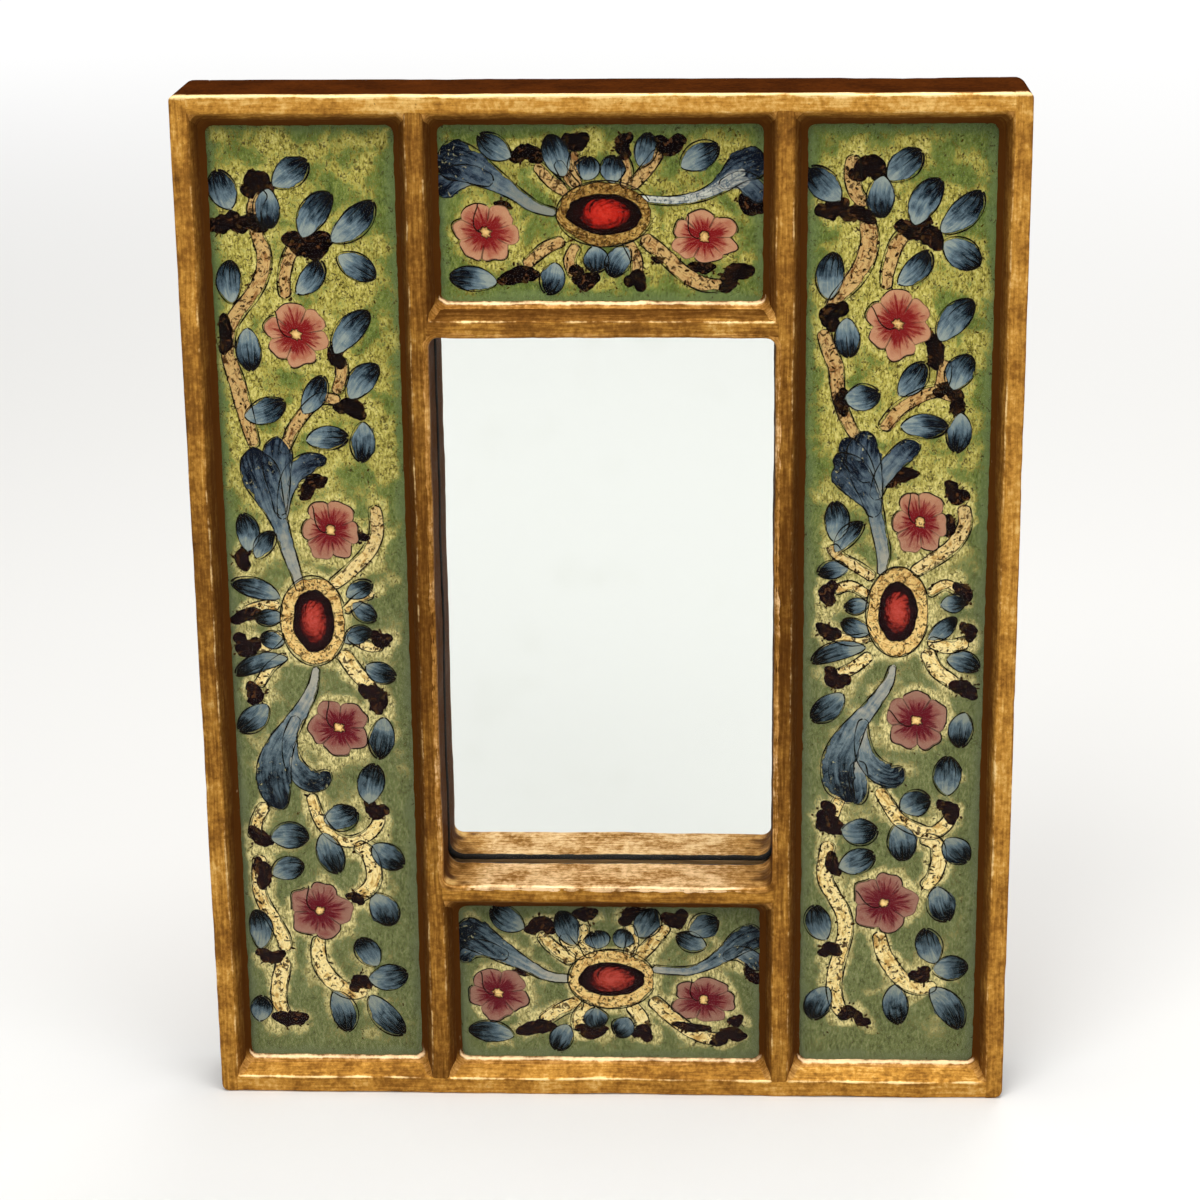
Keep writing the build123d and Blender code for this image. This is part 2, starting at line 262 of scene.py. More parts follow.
def rounded_outline(corners: list[Triple], step: float, turn: int = 5) -> np.ndarray:
    """Draws a closed outline with rounded corners.

    Args:
        corners: Each corner's two coordinates and its radius.
        step: Spacing of points on the straight runs.
        turn: Points on each rounded corner.

    Returns:
        The outline's points, one row each.
    """
    places = [np.array(corner[:2], float) for corner in corners]
    onward = places[1:] + places[:1]
    bends = []
    for number, (here, following) in enumerate(zip(places, onward)):
        back, ahead = places[number - 1] - here, following - here
        back, ahead = back / np.linalg.norm(back), ahead / np.linalg.norm(ahead)
        half = 0.5 * acos(float(np.clip(back @ ahead, -1, 1)))
        reach = corners[number][2] / tan(half)
        bends.append(np.array([here + back * reach, here, here + ahead * reach]))
    made = []
    for bend, after, here, following in zip(bends, bends[1:] + bends[:1], places, onward):
        for t in np.linspace(0, 1, turn):
            # The corner's own pull is eased so that the bend is close to an arc.
            weights = np.array([(1 - t) ** 2, 2 * t * (1 - t) * 0.72, t**2])
            made.append(weights @ bend / weights.sum())
        # The count hangs on the corners alone, so loops of other radii still join up.
        count = max(1, int(dist(here, following) / step))
        made += [bend[2] + (after[0] - bend[2]) * k / count for k in range(1, count)]
    return np.array(made)


@dataclass
class Draft:
    """A mesh on the drawing board, in millimetres, with named values at its points."""

    points: list[np.ndarray] = field(default_factory=list)
    faces: list[tuple[int, ...]] = field(default_factory=list)
    finishes: list[int] = field(default_factory=list)
    values: dict[str, list[np.ndarray]] = field(default_factory=dict)
    count: int = 0

    def add_grid(
        self,
        rows: list[Row] | np.ndarray,
        columns: int,
        names: tuple[str, ...] = (),
        closed: bool = False,
        caps: bool = False,
        finish: int = 0,
    ) -> None:
        """Adds rows of points joined by four-sided faces.

        Args:
            rows: For each point its place, a number for each name and, if it has three more, its
                grain.
            columns: Points in each row of the grid.
            names: What the numbers after the place are.
            closed: Whether the last column joins the first.
            caps: Whether the first and last row are filled in.
            finish: Which of the piece's finishes the faces take.
        """
        data = np.array(rows, float)
        index = self.count + np.arange(len(data)).reshape(-1, columns)
        wide = np.hstack([index, index[:, :1]]) if closed else index
        quads = np.stack([wide[:-1, :-1], wide[:-1, 1:], wide[1:, 1:], wide[1:, :-1]], axis=-1)
        fresh = [tuple(q) for q in quads.reshape(-1, 4).tolist()]
        if caps:
            fresh += [tuple(index[0][::-1].tolist()), tuple(index[-1].tolist())]
        self.faces += fresh
        self.finishes += [finish] * len(fresh)
        self.points.append(data[:, :3])
        for number, name in enumerate(names, 3):
            self.values.setdefault(name, []).append(data[:, number : number + 1])
        if data.shape[1] > 3 + len(names):
            self.values.setdefault("grain", []).append(data[:, -3:])
        self.count += len(data)

    def make(
        self,
        name: str,
        finishes: list[Finish],
        slot: str,
        body: str = "frame",
        replaces: str = "",
        solid: bool = True,
        smooth: bool = True,
    ) -> Piece:
        """Turns the draft into a piece that rides on a body.

        Args:
            name: The piece's name.
            finishes: Its materials, in the order that faces name them.
            slot: The record's material slot. Not used.
            body: The body that it moves with.
            replaces: The CAD node that it stands for.
            solid: Whether the mesh is closed, so that its normals can face outwards.
            smooth: Whether its faces are shaded as one curved skin.

        Returns:
            The piece.
        """
        mesh = bpy.data.meshes.new(name)
        mesh.from_pydata((np.vstack(self.points) * MM).tolist(), [], self.faces)
        for key, parts in self.values.items():
            rows = np.vstack(parts).astype(np.float32)
            kind, member = ("FLOAT", "value") if rows.shape[1] == 1 else ("FLOAT_VECTOR", "vector")
            mesh.attributes.new(key, kind, "POINT").data.foreach_set(member, rows.ravel())
        for material in finishes:
            mesh.materials.append(material)
        mesh.polygons.foreach_set("material_index", self.finishes)
        mesh.polygons.foreach_set("use_smooth", [smooth] * len(self.faces))
        mesh.update()
        if solid:
            shape = bmesh.new()
            shape.from_mesh(mesh)
            bmesh.ops.recalc_face_normals(shape, faces=shape.faces)
            shape.to_mesh(mesh)
            shape.free()
        piece = bpy.data.objects.new(name, mesh)
        bpy.context.scene.collection.objects.link(piece)
        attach(piece, body)
        if replaces:
            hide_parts(replaces)
        log.info("%s: %d points", name, self.count)
        return piece


@dataclass(frozen=True)
class Layout:
    """Levels and openings of the mirror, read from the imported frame, in millimetres."""

    half_width: float
    height: float
    front: float
    back: float
    glass: float
    pane_back: float
    foil: float
    seat: float
    mirror: float
    mirror_back: float
    half_sight: float
    sight_low: float
    sight_high: float

    @classmethod
    def read(cls) -> Layout:
        """Reads the levels from the nodes' boxes.

        Returns:
            The layout that the hand-made pieces keep to.
        """
        names = ("left_stile", "left_pane", "left_foil", "mirror_plate", "well_lining")
        stile, pane, foil, plate, well = (
            tuple(Vector(corner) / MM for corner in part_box(name)) for name in names
        )
        lining = 1.2
        return cls(
            half_width=-stile[0].x,
            height=stile[1].z,
            front=stile[0].y,
            back=stile[1].y,
            glass=pane[0].y,
            pane_back=pane[1].y,
            foil=foil[0].y,
            seat=foil[1].y,
            mirror=plate[0].y,
            mirror_back=plate[1].y,
            half_sight=well[1].x - lining,
            sight_low=well[0].z + lining,
            sight_high=well[1].z - lining,
        )


# ---------------------------------------------------------------- finishes


class Run(Enum):
    """Which way a stick or board runs, and with it its grain."""

    UPRIGHT = "z"
    LEVEL = "x"


@dataclass(frozen=True)
class GildedWood:
    """Bronze-powder gilding over red bole and brushed gesso, thinned back by rubbing and toned with
    a brown earth glaze, with painted highlight and painted shade.
    """

    # Gives the eye warm gold with fine brush fibres along the bar, pale arrises that are partly
    # marked by rubbing and partly painted highlight, a dark glaze in the recesses that is partly
    # painted shade, and plain red-brown on the outer sides.
    name: str = "bronze_gilding_on_cedar"
    pale: str = "#E6BC70"
    gold: str = "#C08A3A"
    deep_gold: str = "#8F6026"
    brown: str = "#5A3818"
    rubbed_and_lit: str = "#F6D597"
    umber_and_shade: str = "#4E2C0E"
    bole: str = "#54290C"
    old_bole: str = "#341808"
    streak_mm: float = 0.75
    streak_stretch: float = 14.0
    grit_mm: float = 1.5
    patch_mm: float = 14.0
    pit_mm: float = 0.8
    relief_mm: float = 0.16

    def build(self) -> Finish:
        """Builds the node material.

        Returns:
            The finished material.
        """
        material, add = open_material(self.name)
        spot, (shade, outer, wear_and_highlight) = places_in_mm(add), read_values(add, "shade", "outer", "wear_and_highlight")
        grain = add("Attribute", output="Vector", attribute_name="grain")
        pace = 1 / self.streak_mm
        comb = (pace / self.streak_stretch, pace, pace)
        combed = add("VectorMath", {0: grain, 1: comb}, **PRODUCT)
        streak, grit, patch, pit = (
            add("TexNoise", {"Vector": at, "Scale": 1 / size, "Detail": fine, "Roughness": rough})
            for at, size, fine, rough in (
                (combed, 1.0, 4.0, 0.6),
                (spot, self.grit_mm, 4.0, 0.65),
                (spot, self.patch_mm, 3.0, 0.65),
                (spot, self.pit_mm, 2.0, 0.65),
            )
        )
        fibres = add("Math", {0: streak, 1: 0.5}, **PRODUCT)
        both = add("Math", {0: grit, 1: 0.65, 2: fibres}, **SUM)
        worked = add("Math", {0: patch, 1: 0.75, 2: both}, **SUM)
        # Rubbing catches the high grains and skips the low ones.
        toned, glaze_and_shade_sum, side_edge, caught, height = (
            add("Math", {0: pattern, 1: share, 2: base}, **SUM)
            for pattern, share, base in (
                (shade, 0.32, worked),
                (streak, 0.5, shade),
                (grit, -0.4, outer),
                (worked, -1.0, wear_and_highlight),
                (pit, -0.5, both),
            )
        )
        tone, dusk = (
            add("MapRange", {"Value": v, "From Min": a, "From Max": b})
            for v, a, b in ((toned, 0.695, 1.415), (worked, 0.72, 1.15))
        )
        glaze_and_shade, side, rub_and_highlight, pitting = (
            add("MapRange", {"Value": v, "From Min": a, "From Max": b, "To Max": most}, **SOFT)
            for v, a, b, most in (
                (glaze_and_shade_sum, 0.45, 1.15, 1.0),
                (side_edge, 0.1, 0.7, 1.0),
                (caught, -0.68, -0.25, 0.95),
                (pit, 0.66, 0.76, 0.6),
            )
        )
        stops = ((0.05, self.pale), (0.36, self.gold), (0.62, self.deep_gold), (0.95, self.brown))
        colour = add("ValToRGB", {"Fac": tone}, stops=stops)
        boles = add("Mix", {0: dusk, FROM: self.bole, TO: self.old_bole}, **COLOURS)
        # The pale colour also paints highlights on lit arrises. The glaze colour, and the shade
        # value in the tone, also paint shade in the recesses and on slopes that face down.
        layers = ((glaze_and_shade, self.umber_and_shade), (side, boles), (rub_and_highlight, self.rubbed_and_lit), (pitting, self.umber_and_shade))
        for mask, paint in layers:
            colour = add("Mix", {0: mask, FROM: colour, TO: paint}, **COLOURS)
        dull = add("MapRange", {"Value": tone, "To Min": 0.34, "To Max": 0.58})
        metal = add("MapRange", {"Value": tone, "To Min": 0.5, "To Max": 0.15})
        duller, bare = (
            add("Mix", {0: side, 2: gilt, 3: board}) for gilt, board in ((dull, 0.78), (metal, 0.0))
        )
        relief = add("Bump", {"Height": height, "Strength": 0.9, "Distance": self.relief_mm * MM})
        # Old bronze paint is duller than fresh varnish, so it reflects less than a plain surface.
        surface = {"Base Color": colour, "Roughness": duller, "Metallic": bare, "Normal": relief}
        return close_material(material, surface | {"Specular IOR Level": 0.0})


@dataclass(frozen=True)
class SpeckledGround:
    """Green glaze dabbed over gold leaf on crinkled foil, seen through glass."""

    # Gives the eye grainy old gold between soft clouds of moss green, an even grey-green at the
    # rim, bright gold round the flowers and small dark flecks. In the lower half the gold, and a
    # little the green, is lighter: a painted reflection of the pale floor in the gold leaf.
    name: str = "green_glaze_over_gold_leaf"
    high_gold: tuple[str, ...] = ("#6E6424", "#AEA04A", "#D8C878")
    low_gold: tuple[str, ...] = ("#716A3E", "#A89A62", "#EBD898")
    high_green: tuple[str, ...] = ("#3F4C1C", "#5E6A2C", "#828842")
    low_green: tuple[str, ...] = ("#4A4E2A", "#666A3E", "#828258")
    high_rim: str = "#667446"
    low_rim: str = "#696E4C"
    fleck: str = "#33270E"
    cloud_mm: float = 9.0
    hair_mm: float = 1.4
    grain_mm: float = 0.6
    fleck_mm: float = 1.1
    relief_mm: float = 0.08

    def build(self) -> Finish:
        """Builds the node material.

        Returns:
            The finished material.
        """
        material, add = open_material(self.name)
        spot, (halo, rim, low) = places_in_mm(add), read_values(add, "halo", "rim", "low")
        # Bristles leave hairs of glaze that stand nearly upright.
        upright = add("VectorMath", {0: spot, 1: (1.0, 1.0, 0.5)}, **PRODUCT)
        cloud, hair, grit, fleck = (
            add(
                "TexNoise",
                {"Vector": place, "Scale": 1 / size, "Detail": fine, "Roughness": rough,
                 "Distortion": bent},
            )
            for place, size, fine, rough, bent in (
                (spot, self.cloud_mm, 4.0, 0.5, 0.4),
                (upright, self.hair_mm, 4.0, 0.65, 0.5),
                (upright, self.grain_mm, 2.0, 0.6, 0.0),
                (spot, self.fleck_mm, 2.0, 0.6, 1.4),
            )
        )
        # Each sum: its first part, and then each further part with its weight. The glaze lies
        # thicker at the rim and is wiped off round the flowers.
        sums: list[Socket] = []
        for total, parts in (
            (cloud, ((hair, 0.35), (grit, 0.45), (halo, -0.34), (rim, 0.22), (low, 0.13))),
            (0.0, ((grit, 1.2), (hair, 0.8), (halo, 0.14))),
            (0.0, ((grit, 0.5), (hair, 0.5))),
            (rim, ((cloud, 1.0), (grit, 0.5))),
        ):
            for value, share in parts:
                total = add("Math", {0: value, 1: share, 2: total}, **SUM)
            sums.append(total)
        cover, lit, greenish, rimmed = sums
        glaze = add("MapRange", {"Value": cover, "From Min": 0.86, "From Max": 0.97}, **SOFT)
        sparse = fleck
        for value, share in ((glaze, -0.05), (low, -0.04)):
            sparse = add("Math", {0: value, 1: share, 2: sparse}, **SUM)
        tones = (
            add("MapRange", {"Value": v, "From Min": a, "From Max": b})
            for v, a, b in ((lit, 0.78, 1.26), (greenish, 0.36, 0.64))
        )
        grounds = ((self.high_gold, self.low_gold), (self.high_green, self.low_green))
        (high_gold, low_gold), (high_green, low_green) = (
            [add("ValToRGB", {"Fac": tone}, stops=tuple(zip((0.0, 0.5, 1.0), c))) for c in both]
            for tone, both in zip(tones, grounds)
        )
        gold, green, edge = (
            add("Mix", {0: low, FROM: high, TO: deep}, **COLOURS)
            for high, deep in (
                (high_gold, low_gold), (high_green, low_green), (self.high_rim, self.low_rim)
            )
        )
        border, dark = (
            add("MapRange", {"Value": v, "From Min": a, "From Max": b, "To Max": most}, **SOFT)
            for v, a, b, most in ((rimmed, 1.05, 1.55, 0.75), (sparse, 0.55, 0.64, 0.85))
        )
        colour = gold
        for mask, paint in ((glaze, green), (border, edge), (dark, self.fleck)):
            colour = add("Mix", {0: mask, FROM: colour, TO: paint}, **COLOURS)
        metal = add("MapRange", {"Value": glaze, "To Min": 0.3, "To Max": 0.0})
        relief = add("Bump", {"Height": lit, "Strength": 0.6, "Distance": self.relief_mm * MM})
        surface = {"Base Color": colour, "Roughness": 0.5, "Metallic": metal, "Normal": relief}
        return close_material(material, surface | {"Specular IOR Level": 0.1})


@dataclass(frozen=True)
class BrushPaint:
    """Oil paint laid on the back of glass with a loaded brush."""

    # Gives the eye strokes that run from light to dark along their length, with combed streaks of
    # the bristles, cloudy blots and, where the paint is thin, specks of what is behind.
    name: str
    high_stops: tuple[str, str, str, str]
    low_stops: tuple[str, str, str, str]
    places: tuple[float, float, float, float] = (0.08, 0.4, 0.66, 0.88)
    run_down: float = 1.0
    streaks: float = 1.6
    streak_mm: float = 0.7
    streak_stretch: float = 8.0
    blots: float = 0.9
    blot_mm: float = 2.8
    outline_mm: float = 0.15
    ink: str = "#14120E"
    specks: float = 0.0
    speck_colour: str = "#22140B"
    speck_mm: float = 1.2
    speck_far: float = 0.0
    metallic: float = 0.0

    def build(self) -> Finish:
        """Builds the node material.

        Returns:
            The finished material.
        """
        material, add = open_material(self.name)
        spot, (along, edge, low) = places_in_mm(add), read_values(add, "along", "edge", "low")
        grain = add("Attribute", output="Vector", attribute_name="grain")
        pace = 1 / self.streak_mm
        comb = (pace, pace / self.streak_stretch, 1.0)
        combed = add("VectorMath", {0: grain, 1: comb}, **PRODUCT)
        streak, blot, speck = (
            add(
                "TexNoise",
                {"Vector": place, "Scale": 1 / size, "Detail": 3.0, "Roughness": 0.62,
                 "Distortion": bent},
            )
            for place, size, bent in (
                (combed, 1.0, 0.3), (spot, self.blot_mm, 0.6), (spot, self.speck_mm, 1.0)
            )
        )
        tone: object = 0.5 * (1 - self.run_down) - 0.5 * self.streaks - 0.5 * self.blots
        for value, share in ((along, self.run_down), (streak, self.streaks), (blot, self.blots)):
            tone = add("Math", {0: value, 1: share, 2: tone}, **SUM)
        high, deep = (
            add("ValToRGB", {"Fac": tone}, stops=tuple(zip(self.places, colours)))
            for colours in (self.high_stops, self.low_stops)
        )
        # Strokes in the lower half take the second set of colours. Where these are lighter, as in
        # the gold, ochre and cream paints, they are a painted reflection of the pale floor.
        colour = add("Mix", {0: low, FROM: high, TO: deep}, **COLOURS)
        if self.specks:
            start = 0.66 - 0.16 * self.specks + self.speck_far
            thin = add("Math", {0: along, 1: self.speck_far, 2: speck}, **SUM)
            reach = {"Value": thin, "From Min": start, "From Max": start + 0.06, "To Max": 0.9}
            bare = add("MapRange", reach, **SOFT)
            colour = add("Mix", {0: bare, FROM: colour, TO: self.speck_colour}, **COLOURS)
        if self.outline_mm:
            # The paint gathers in a dark line along its edge, thinner here and there.
            uneven = add("Math", {0: speck, 1: 0.7, 2: edge}, **SUM)
            near, far = self.outline_mm + 0.25, self.outline_mm + 0.45
            reach = {"Value": uneven, "From Min": near, "From Max": far}
            line = add("MapRange", reach | {"To Min": 1.0, "To Max": 0.0}, **SOFT)
            colour = add("Mix", {0: line, FROM: colour, TO: self.ink}, **COLOURS)
        # The paint wets the glass, so the pane shines and the paint itself does not.
        surface = {"Base Color": colour, "Roughness": 0.45, "Metallic": self.metallic}
        return close_material(material, surface | {"Specular IOR Level": 0.0})


@dataclass(frozen=True)
class PetalPaint:
    """Rose paint with a crimson star brushed out from the flower's heart."""

    # Gives the eye dusty rose petals, darker where they overlap, and fine crimson rays.
    name: str = "rose_petal_paint"
    high: tuple[str, str, str] = ("#B58262", "#984A3A", "#741418")
    low: tuple[str, str, str] = ("#946A5A", "#80403C", "#5C141E")
    ink: str = "#241310"
    ray_mm: float = 0.8
    wash_mm: float = 2.6

    def build(self) -> Finish:
        """Builds the node material.

        Returns:
            The finished material.
        """
        material, add = open_material(self.name)
        spot, grain = places_in_mm(add), add("Attribute", output="Vector", attribute_name="grain")
        along, edge, seam, low = read_values(add, "along", "edge", "seam", "low")
        pace = 1 / self.ray_mm
        combed = add("VectorMath", {0: grain, 1: (pace, pace / 7, 1.0)}, **PRODUCT)
        ray = add("TexNoise", {"Vector": combed, "Scale": 1.0, "Detail": 2.0, "Roughness": 0.6})
        wash = add("TexNoise", {"Vector": spot, "Scale": 1 / self.wash_mm, "Detail": 4.0})
        colour, rose, star = (
            add("Mix", {0: low, FROM: high, TO: deep}, **COLOURS)
            for high, deep in zip(self.high, self.low)
        )
        nearest = add("Math", {0: edge, 1: seam}, operation="MINIMUM")
        for value, share, base, start, end, most, paint in (
            (wash, -1.0, along, -0.05, 0.45, 0.95, rose),
            (ray, -1.5, along, -0.33, -0.02, 0.95, star),
            (ray, 0.6, nearest, 0.4, 0.66, 0.7, self.ink),
        ):
            reach = add("Math", {0: value, 1: share, 2: base}, **SUM)
            fade = {"Value": reach, "From Min": start, "From Max": end, "To Min": most}
            mask = add("MapRange", fade | {"To Max": 0.0}, **SOFT)
            colour = add("Mix", {0: mask, FROM: colour, TO: paint}, **COLOURS)
        surface = {"Base Color": colour, "Roughness": 0.45, "Specular IOR Level": 0.0}
        return close_material(material, surface)


@dataclass(frozen=True)
class PlainGlass:
    """Thin float glass with ground edges."""

    # Gives the eye a clear view of what lies behind it, with next to no shine of its own: the
    # paint wets its rear face, and its front is seen against a dim room.
    name: str = "float_glass"
    tint: str = "#F8FBF9"
    shine: str = "#3C3C3C"

    def build(self) -> Finish:
        """Builds the node material.

        Returns:
            The finished material.
        """
        material, _ = open_material(self.name)
        surface = {"Base Color": self.tint, "Specular Tint": self.shine, "Roughness": 0.0}
        return close_material(material, surface | {"IOR": 1.5, "Transmission Weight": 1.0})


@dataclass(frozen=True)
class Silvering:
    """Chemically laid silver behind the mirror's glass, with a few faint age clouds."""

    # Gives the eye a clear reflection, a touch dimmer where the silver has clouded.
    name: str = "mirror_silvering"
    silver: str = "#F4F5F4"
    clouded: str = "#F1F2F0"
    cloud_mm: float = 28.0

    def build(self) -> Finish:
        """Builds the node material.

        Returns:
            The finished material.
        """
        material, add = open_material(self.name)
        size = {"Vector": places_in_mm(add), "Scale": 1 / self.cloud_mm, "Detail": 5.0}
        cloud = add("TexNoise", size)
        mask = add("MapRange", {"Value": cloud, "From Min": 0.52, "From Max": 0.7}, **SOFT)
        colour = add("Mix", {0: mask, FROM: self.silver, TO: self.clouded}, **COLOURS)
        surface = {"Base Color": colour, "Metallic": 1.0, "Roughness": 0.01}
        return close_material(material, surface)


@dataclass(frozen=True)
class SawnBoard:
    """Softwood board, sawn and lightly stained."""

    # Gives the eye straight growth rings along the board, fine saw lines and old dust.
    name: str
    run: Run
    early: str = "#AE8455"
    late: str = "#94693D"
    stain: str = "#6A4524"
    ring_mm: float = 3.2
    fibre_mm: float = 0.5
    dirt_mm: float = 38.0

    def build(self) -> Finish:
        """Builds the node material.

        Returns:
            The finished material.
        """
        material, add = open_material(self.name)
        spot = places_in_mm(add)
        slow, quick = 0.035 / self.ring_mm, 1 / self.ring_mm
        stretch = (quick, quick, slow) if self.run is Run.UPRIGHT else (slow, quick, quick)
        fine = tuple(v * self.ring_mm / self.fibre_mm for v in stretch)
        ring, fibre = (
            add(
                "TexNoise",
                {"Vector": add("VectorMath", {0: spot, 1: way}, **PRODUCT), "Scale": 1.0,
                 "Detail": 3.0, "Distortion": 0.3},
            )
            for way in (stretch, fine)
        )
        dirt = add("TexNoise", {"Vector": spot, "Scale": 1 / self.dirt_mm, "Detail": 4.0})
        colour: object = self.early
        for pattern, start, end, most, paint in (
            (ring, 0.4, 0.64, 0.8, self.late),
            (fibre, 0.5, 0.75, 0.45, self.stain),
            (dirt, 0.45, 0.7, 0.45, self.stain),
        ):
            fade = {"Value": pattern, "From Min": start, "From Max": end, "To Max": most}
            mask = add("MapRange", fade, **SOFT)
            colour = add("Mix", {0: mask, FROM: colour, TO: paint}, **COLOURS)
        relief = add("Bump", {"Height": fibre, "Strength": 0.5, "Distance": 0.15 * MM})
        return close_material(material, {"Base Color": colour, "Roughness": 0.72, "Normal": relief})


@dataclass(frozen=True)
class MottledSheet:
    """A board, sheet, wire or coat with one even texture."""

    # Gives the eye a base colour that clouds a little, with a fine tooth that catches the light.
    name: str
    base: str
    cloud: str
    tooth_mm: float
    roughness: float
    metallic: float = 0.0
    relief_mm: float = 0.05
    cloud_mm: float = 17.0

    def build(self) -> Finish:
        """Builds the node material.

        Returns:
            The finished material.
        """
        material, add = open_material(self.name)
        spot = places_in_mm(add)
        clouds, tooth = (
            add("TexNoise", {"Vector": spot, "Scale": 1 / size, "Detail": 4.0, "Roughness": 0.6})
            for size in (self.cloud_mm, self.tooth_mm)
        )
        both = add("Math", {0: tooth, 1: 0.5, 2: clouds}, **SUM)
        mask = add("MapRange", {"Value": both, "From Min": 0.6, "From Max": 0.95}, **SOFT)
        colour = add("Mix", {0: mask, FROM: self.base, TO: self.cloud}, **COLOURS)
        rougher = min(1.0, self.roughness + 0.15)
        dull = add("MapRange", {"Value": mask, "To Min": self.roughness, "To Max": rougher})
        relief = add("Bump", {"Height": tooth, "Strength": 0.5, "Distance": self.relief_mm * MM})
        surface = {"Base Color": colour, "Roughness": dull, "Normal": relief}
        return close_material(material, surface | {"Metallic": self.metallic})


# ---------------------------------------------------------------- gilded bars


@dataclass(frozen=True)
class Arris:
    """A front edge of a bar: its place in the section, its free run and how pale it is from rubbing
    and painted highlight.
    """

    across: float
    depth: float
    start: float
    end: float
    rub_and_highlight: float
    spread: float = 0.55

    def rubbed_and_lit(self, place: float, across: float, depth: float) -> float:
        """Says how pale the gilding is at a point of the bar, from rubbing and painted highlight.

        Args:
            place: How far along the bar the point is.
            across: How far across it.
            depth: How deep it lies.

        Returns:
            The rubbing and highlight, from 0 to 1.
        """
        far = dist((across, depth), (self.across, self.depth)) / self.spread
        free = clamp(min(place - self.start, self.end - place) + 0.5)
        patchy = 0.95 + 0.6 * noise.noise(Vector((place / 6.0, self.across, self.depth)))
        return self.rub_and_highlight * free * max(patchy, 0.0) * bell(far)


@dataclass
class GiltBar:
    """A stick of the frame: a slanting section run along its length, worked and gilded by hand."""

    node: str
    run: Run
    start: float
    end: float
    corners: list[Triple]
    arrises: list[Arris]
    layout: Layout
    slope_shade: float = 0.85
    face_shade: float = 0.1
    waist_shade: float = 0.0
    outer_side: float | None = None
    top_rub_and_highlight: float = 0.0
    tuck: Pair | None = None
    tuck_lean: float = 0.0
    well_side: bool = False
    wobble: float = 0.34
    step: float = 1.5
    end_round: float = 0.7

    def stations(self) -> list[Pair]:
        """Lists the places along the bar where its section is drawn.

        Returns:
            Each place, with how far the section is drawn in there.
        """
        bend = [
            (self.end_round * (1 - sin(a)), self.end_round * (1 - cos(a)))
            for a in (0.0, 0.4, 0.8, 1.2, pi / 2)
        ]
        fine = [1.1, 1.6, 2.2, 2.9, 3.7]
        inner = np.arange(self.start + 4.6, self.end - 4.0, self.step)
        return (
            [(self.start + drawn, near) for near, drawn in bend]
            + [(self.start + f, 0.0) for f in fine]
            + [(float(v), 0.0) for v in inner]
            + [(self.end - f, 0.0) for f in reversed(fine)]
            + [(self.end - drawn, near) for near, drawn in reversed(bend)]
        )

    def build(self, finish: Finish) -> None:
        """Builds the bar's mesh and dresses it.

        Args:
            finish: The gilding.
        """
        plan = self.layout
        outline = rounded_outline(self.corners, 1.1)
        centre = outline.mean(axis=0)
        half = np.abs(outline - centre).max(axis=0)
        closing = [0.75, 0.5, 0.25, 0.04]
        full = 1 - self.end_round / half
        sections = [(self.start, *(full * s)) for s in reversed(closing)]
        sections += [(place, *(1 - drawn / half)) for place, drawn in self.stations()]
        sections += [(self.end, *(full * s)) for s in closing]
        middle, reach = (self.start + self.end) / 2, (self.end - self.start) / 2
        capped = len(closing) + 3
        rows = []
        for number, (place, share_a, share_d) in enumerate(sections):
            is_end = not capped <= number < len(sections) - capped
            face = self.face_shade + self.waist_shade * bell((place - middle) / (0.4 * reach))
            # Each stile's top end gets a pale edge: partly rubbing, partly a painted highlight
            # where light from above meets the arris. The arrises' pale lines are likewise partly
            # painted highlight.
            top = self.top_rub_and_highlight * bell((self.end - place) / 1.1)
            for across, depth in outline:
                a = centre[0] + (across - centre[0]) * share_a
                d = centre[1] + (depth - centre[1]) * share_d
                rub_and_highlight = max(arris.rubbed_and_lit(place, a, d) for arris in self.arrises)
                front = clamp(1 - (d - plan.front) / 1.6)
                deep = clamp((d - plan.front) / (plan.glass - plan.front))
                on_outer = self.outer_side is not None and abs(a - self.outer_side) < 0.5
                is_outer = (on_outer or is_end) and d > plan.front + 1.1 or d > plan.glass + 1.5
                # The face's tone runs into the slope's, deeper in the recess. Each slope's value is
                # set by which way it faces, so the darkening there is painted shade along with some
                # glaze.
                shade = face + (self.slope_shade - face) * deep**0.6
                worked = (max(rub_and_highlight, top * front), shade, float(is_outer))
                rows.append((*self.settle(place, a, d, centre), *worked, place, a, d))
        draft = Draft()
        draft.add_grid(rows, len(outline), WEAR_LIGHT_AND_SHADE, closed=True, caps=True)
        draft.make(f"gilt_{self.node}", [finish], "gilded_wood", replaces=self.node)

    def settle(self, place: float, across: float, depth: float, centre: np.ndarray) -> Triple:
        """Places one point of the bar and gives it the unevenness of hand work.

        Args:
            place: How far along the bar.
            across: Its coordinate across the bar.
            depth: Its depth.
            centre: The middle of the section.

        Returns:
            The point.
        """
        plan, sunk = self.layout, 0.0
        if self.tuck is not None:
            # An end that runs on into its slanting neighbour lies a hair inside it.
            lean = self.tuck_lean * clamp((depth - plan.front) / (plan.glass - plan.front))
            beyond = max(self.tuck[0] + lean - place, place - self.tuck[1] + lean, 0.0)
            sunk = 0.14 * min(beyond / 0.6, 1.0)
            across -= copysign(sunk, across - centre[0])
            depth -= copysign(sunk, depth - centre[1])
        x, z = (across, place) if self.run is Run.UPRIGHT else (place, across)
        if self.well_side and self.run is Run.LEVEL:
            low, high = plan.sight_low - 0.6, plan.sight_high + 0.6
            z = min(z, low) if z < (low + high) / 2 else max(z, high)
        elif self.well_side and plan.sight_low - 2.2 < z < plan.sight_high + 2.2:
            x = copysign(max(abs(x), plan.half_sight + 0.6), x)
        point = Vector((x, depth, z))
        point = round_outer_corner(point + hand_wobble(point, self.wobble), plan, sunk)
        return point.x, min(max(point.y, plan.front - 0.3), plan.back - sunk), max(point.z, 0.02)


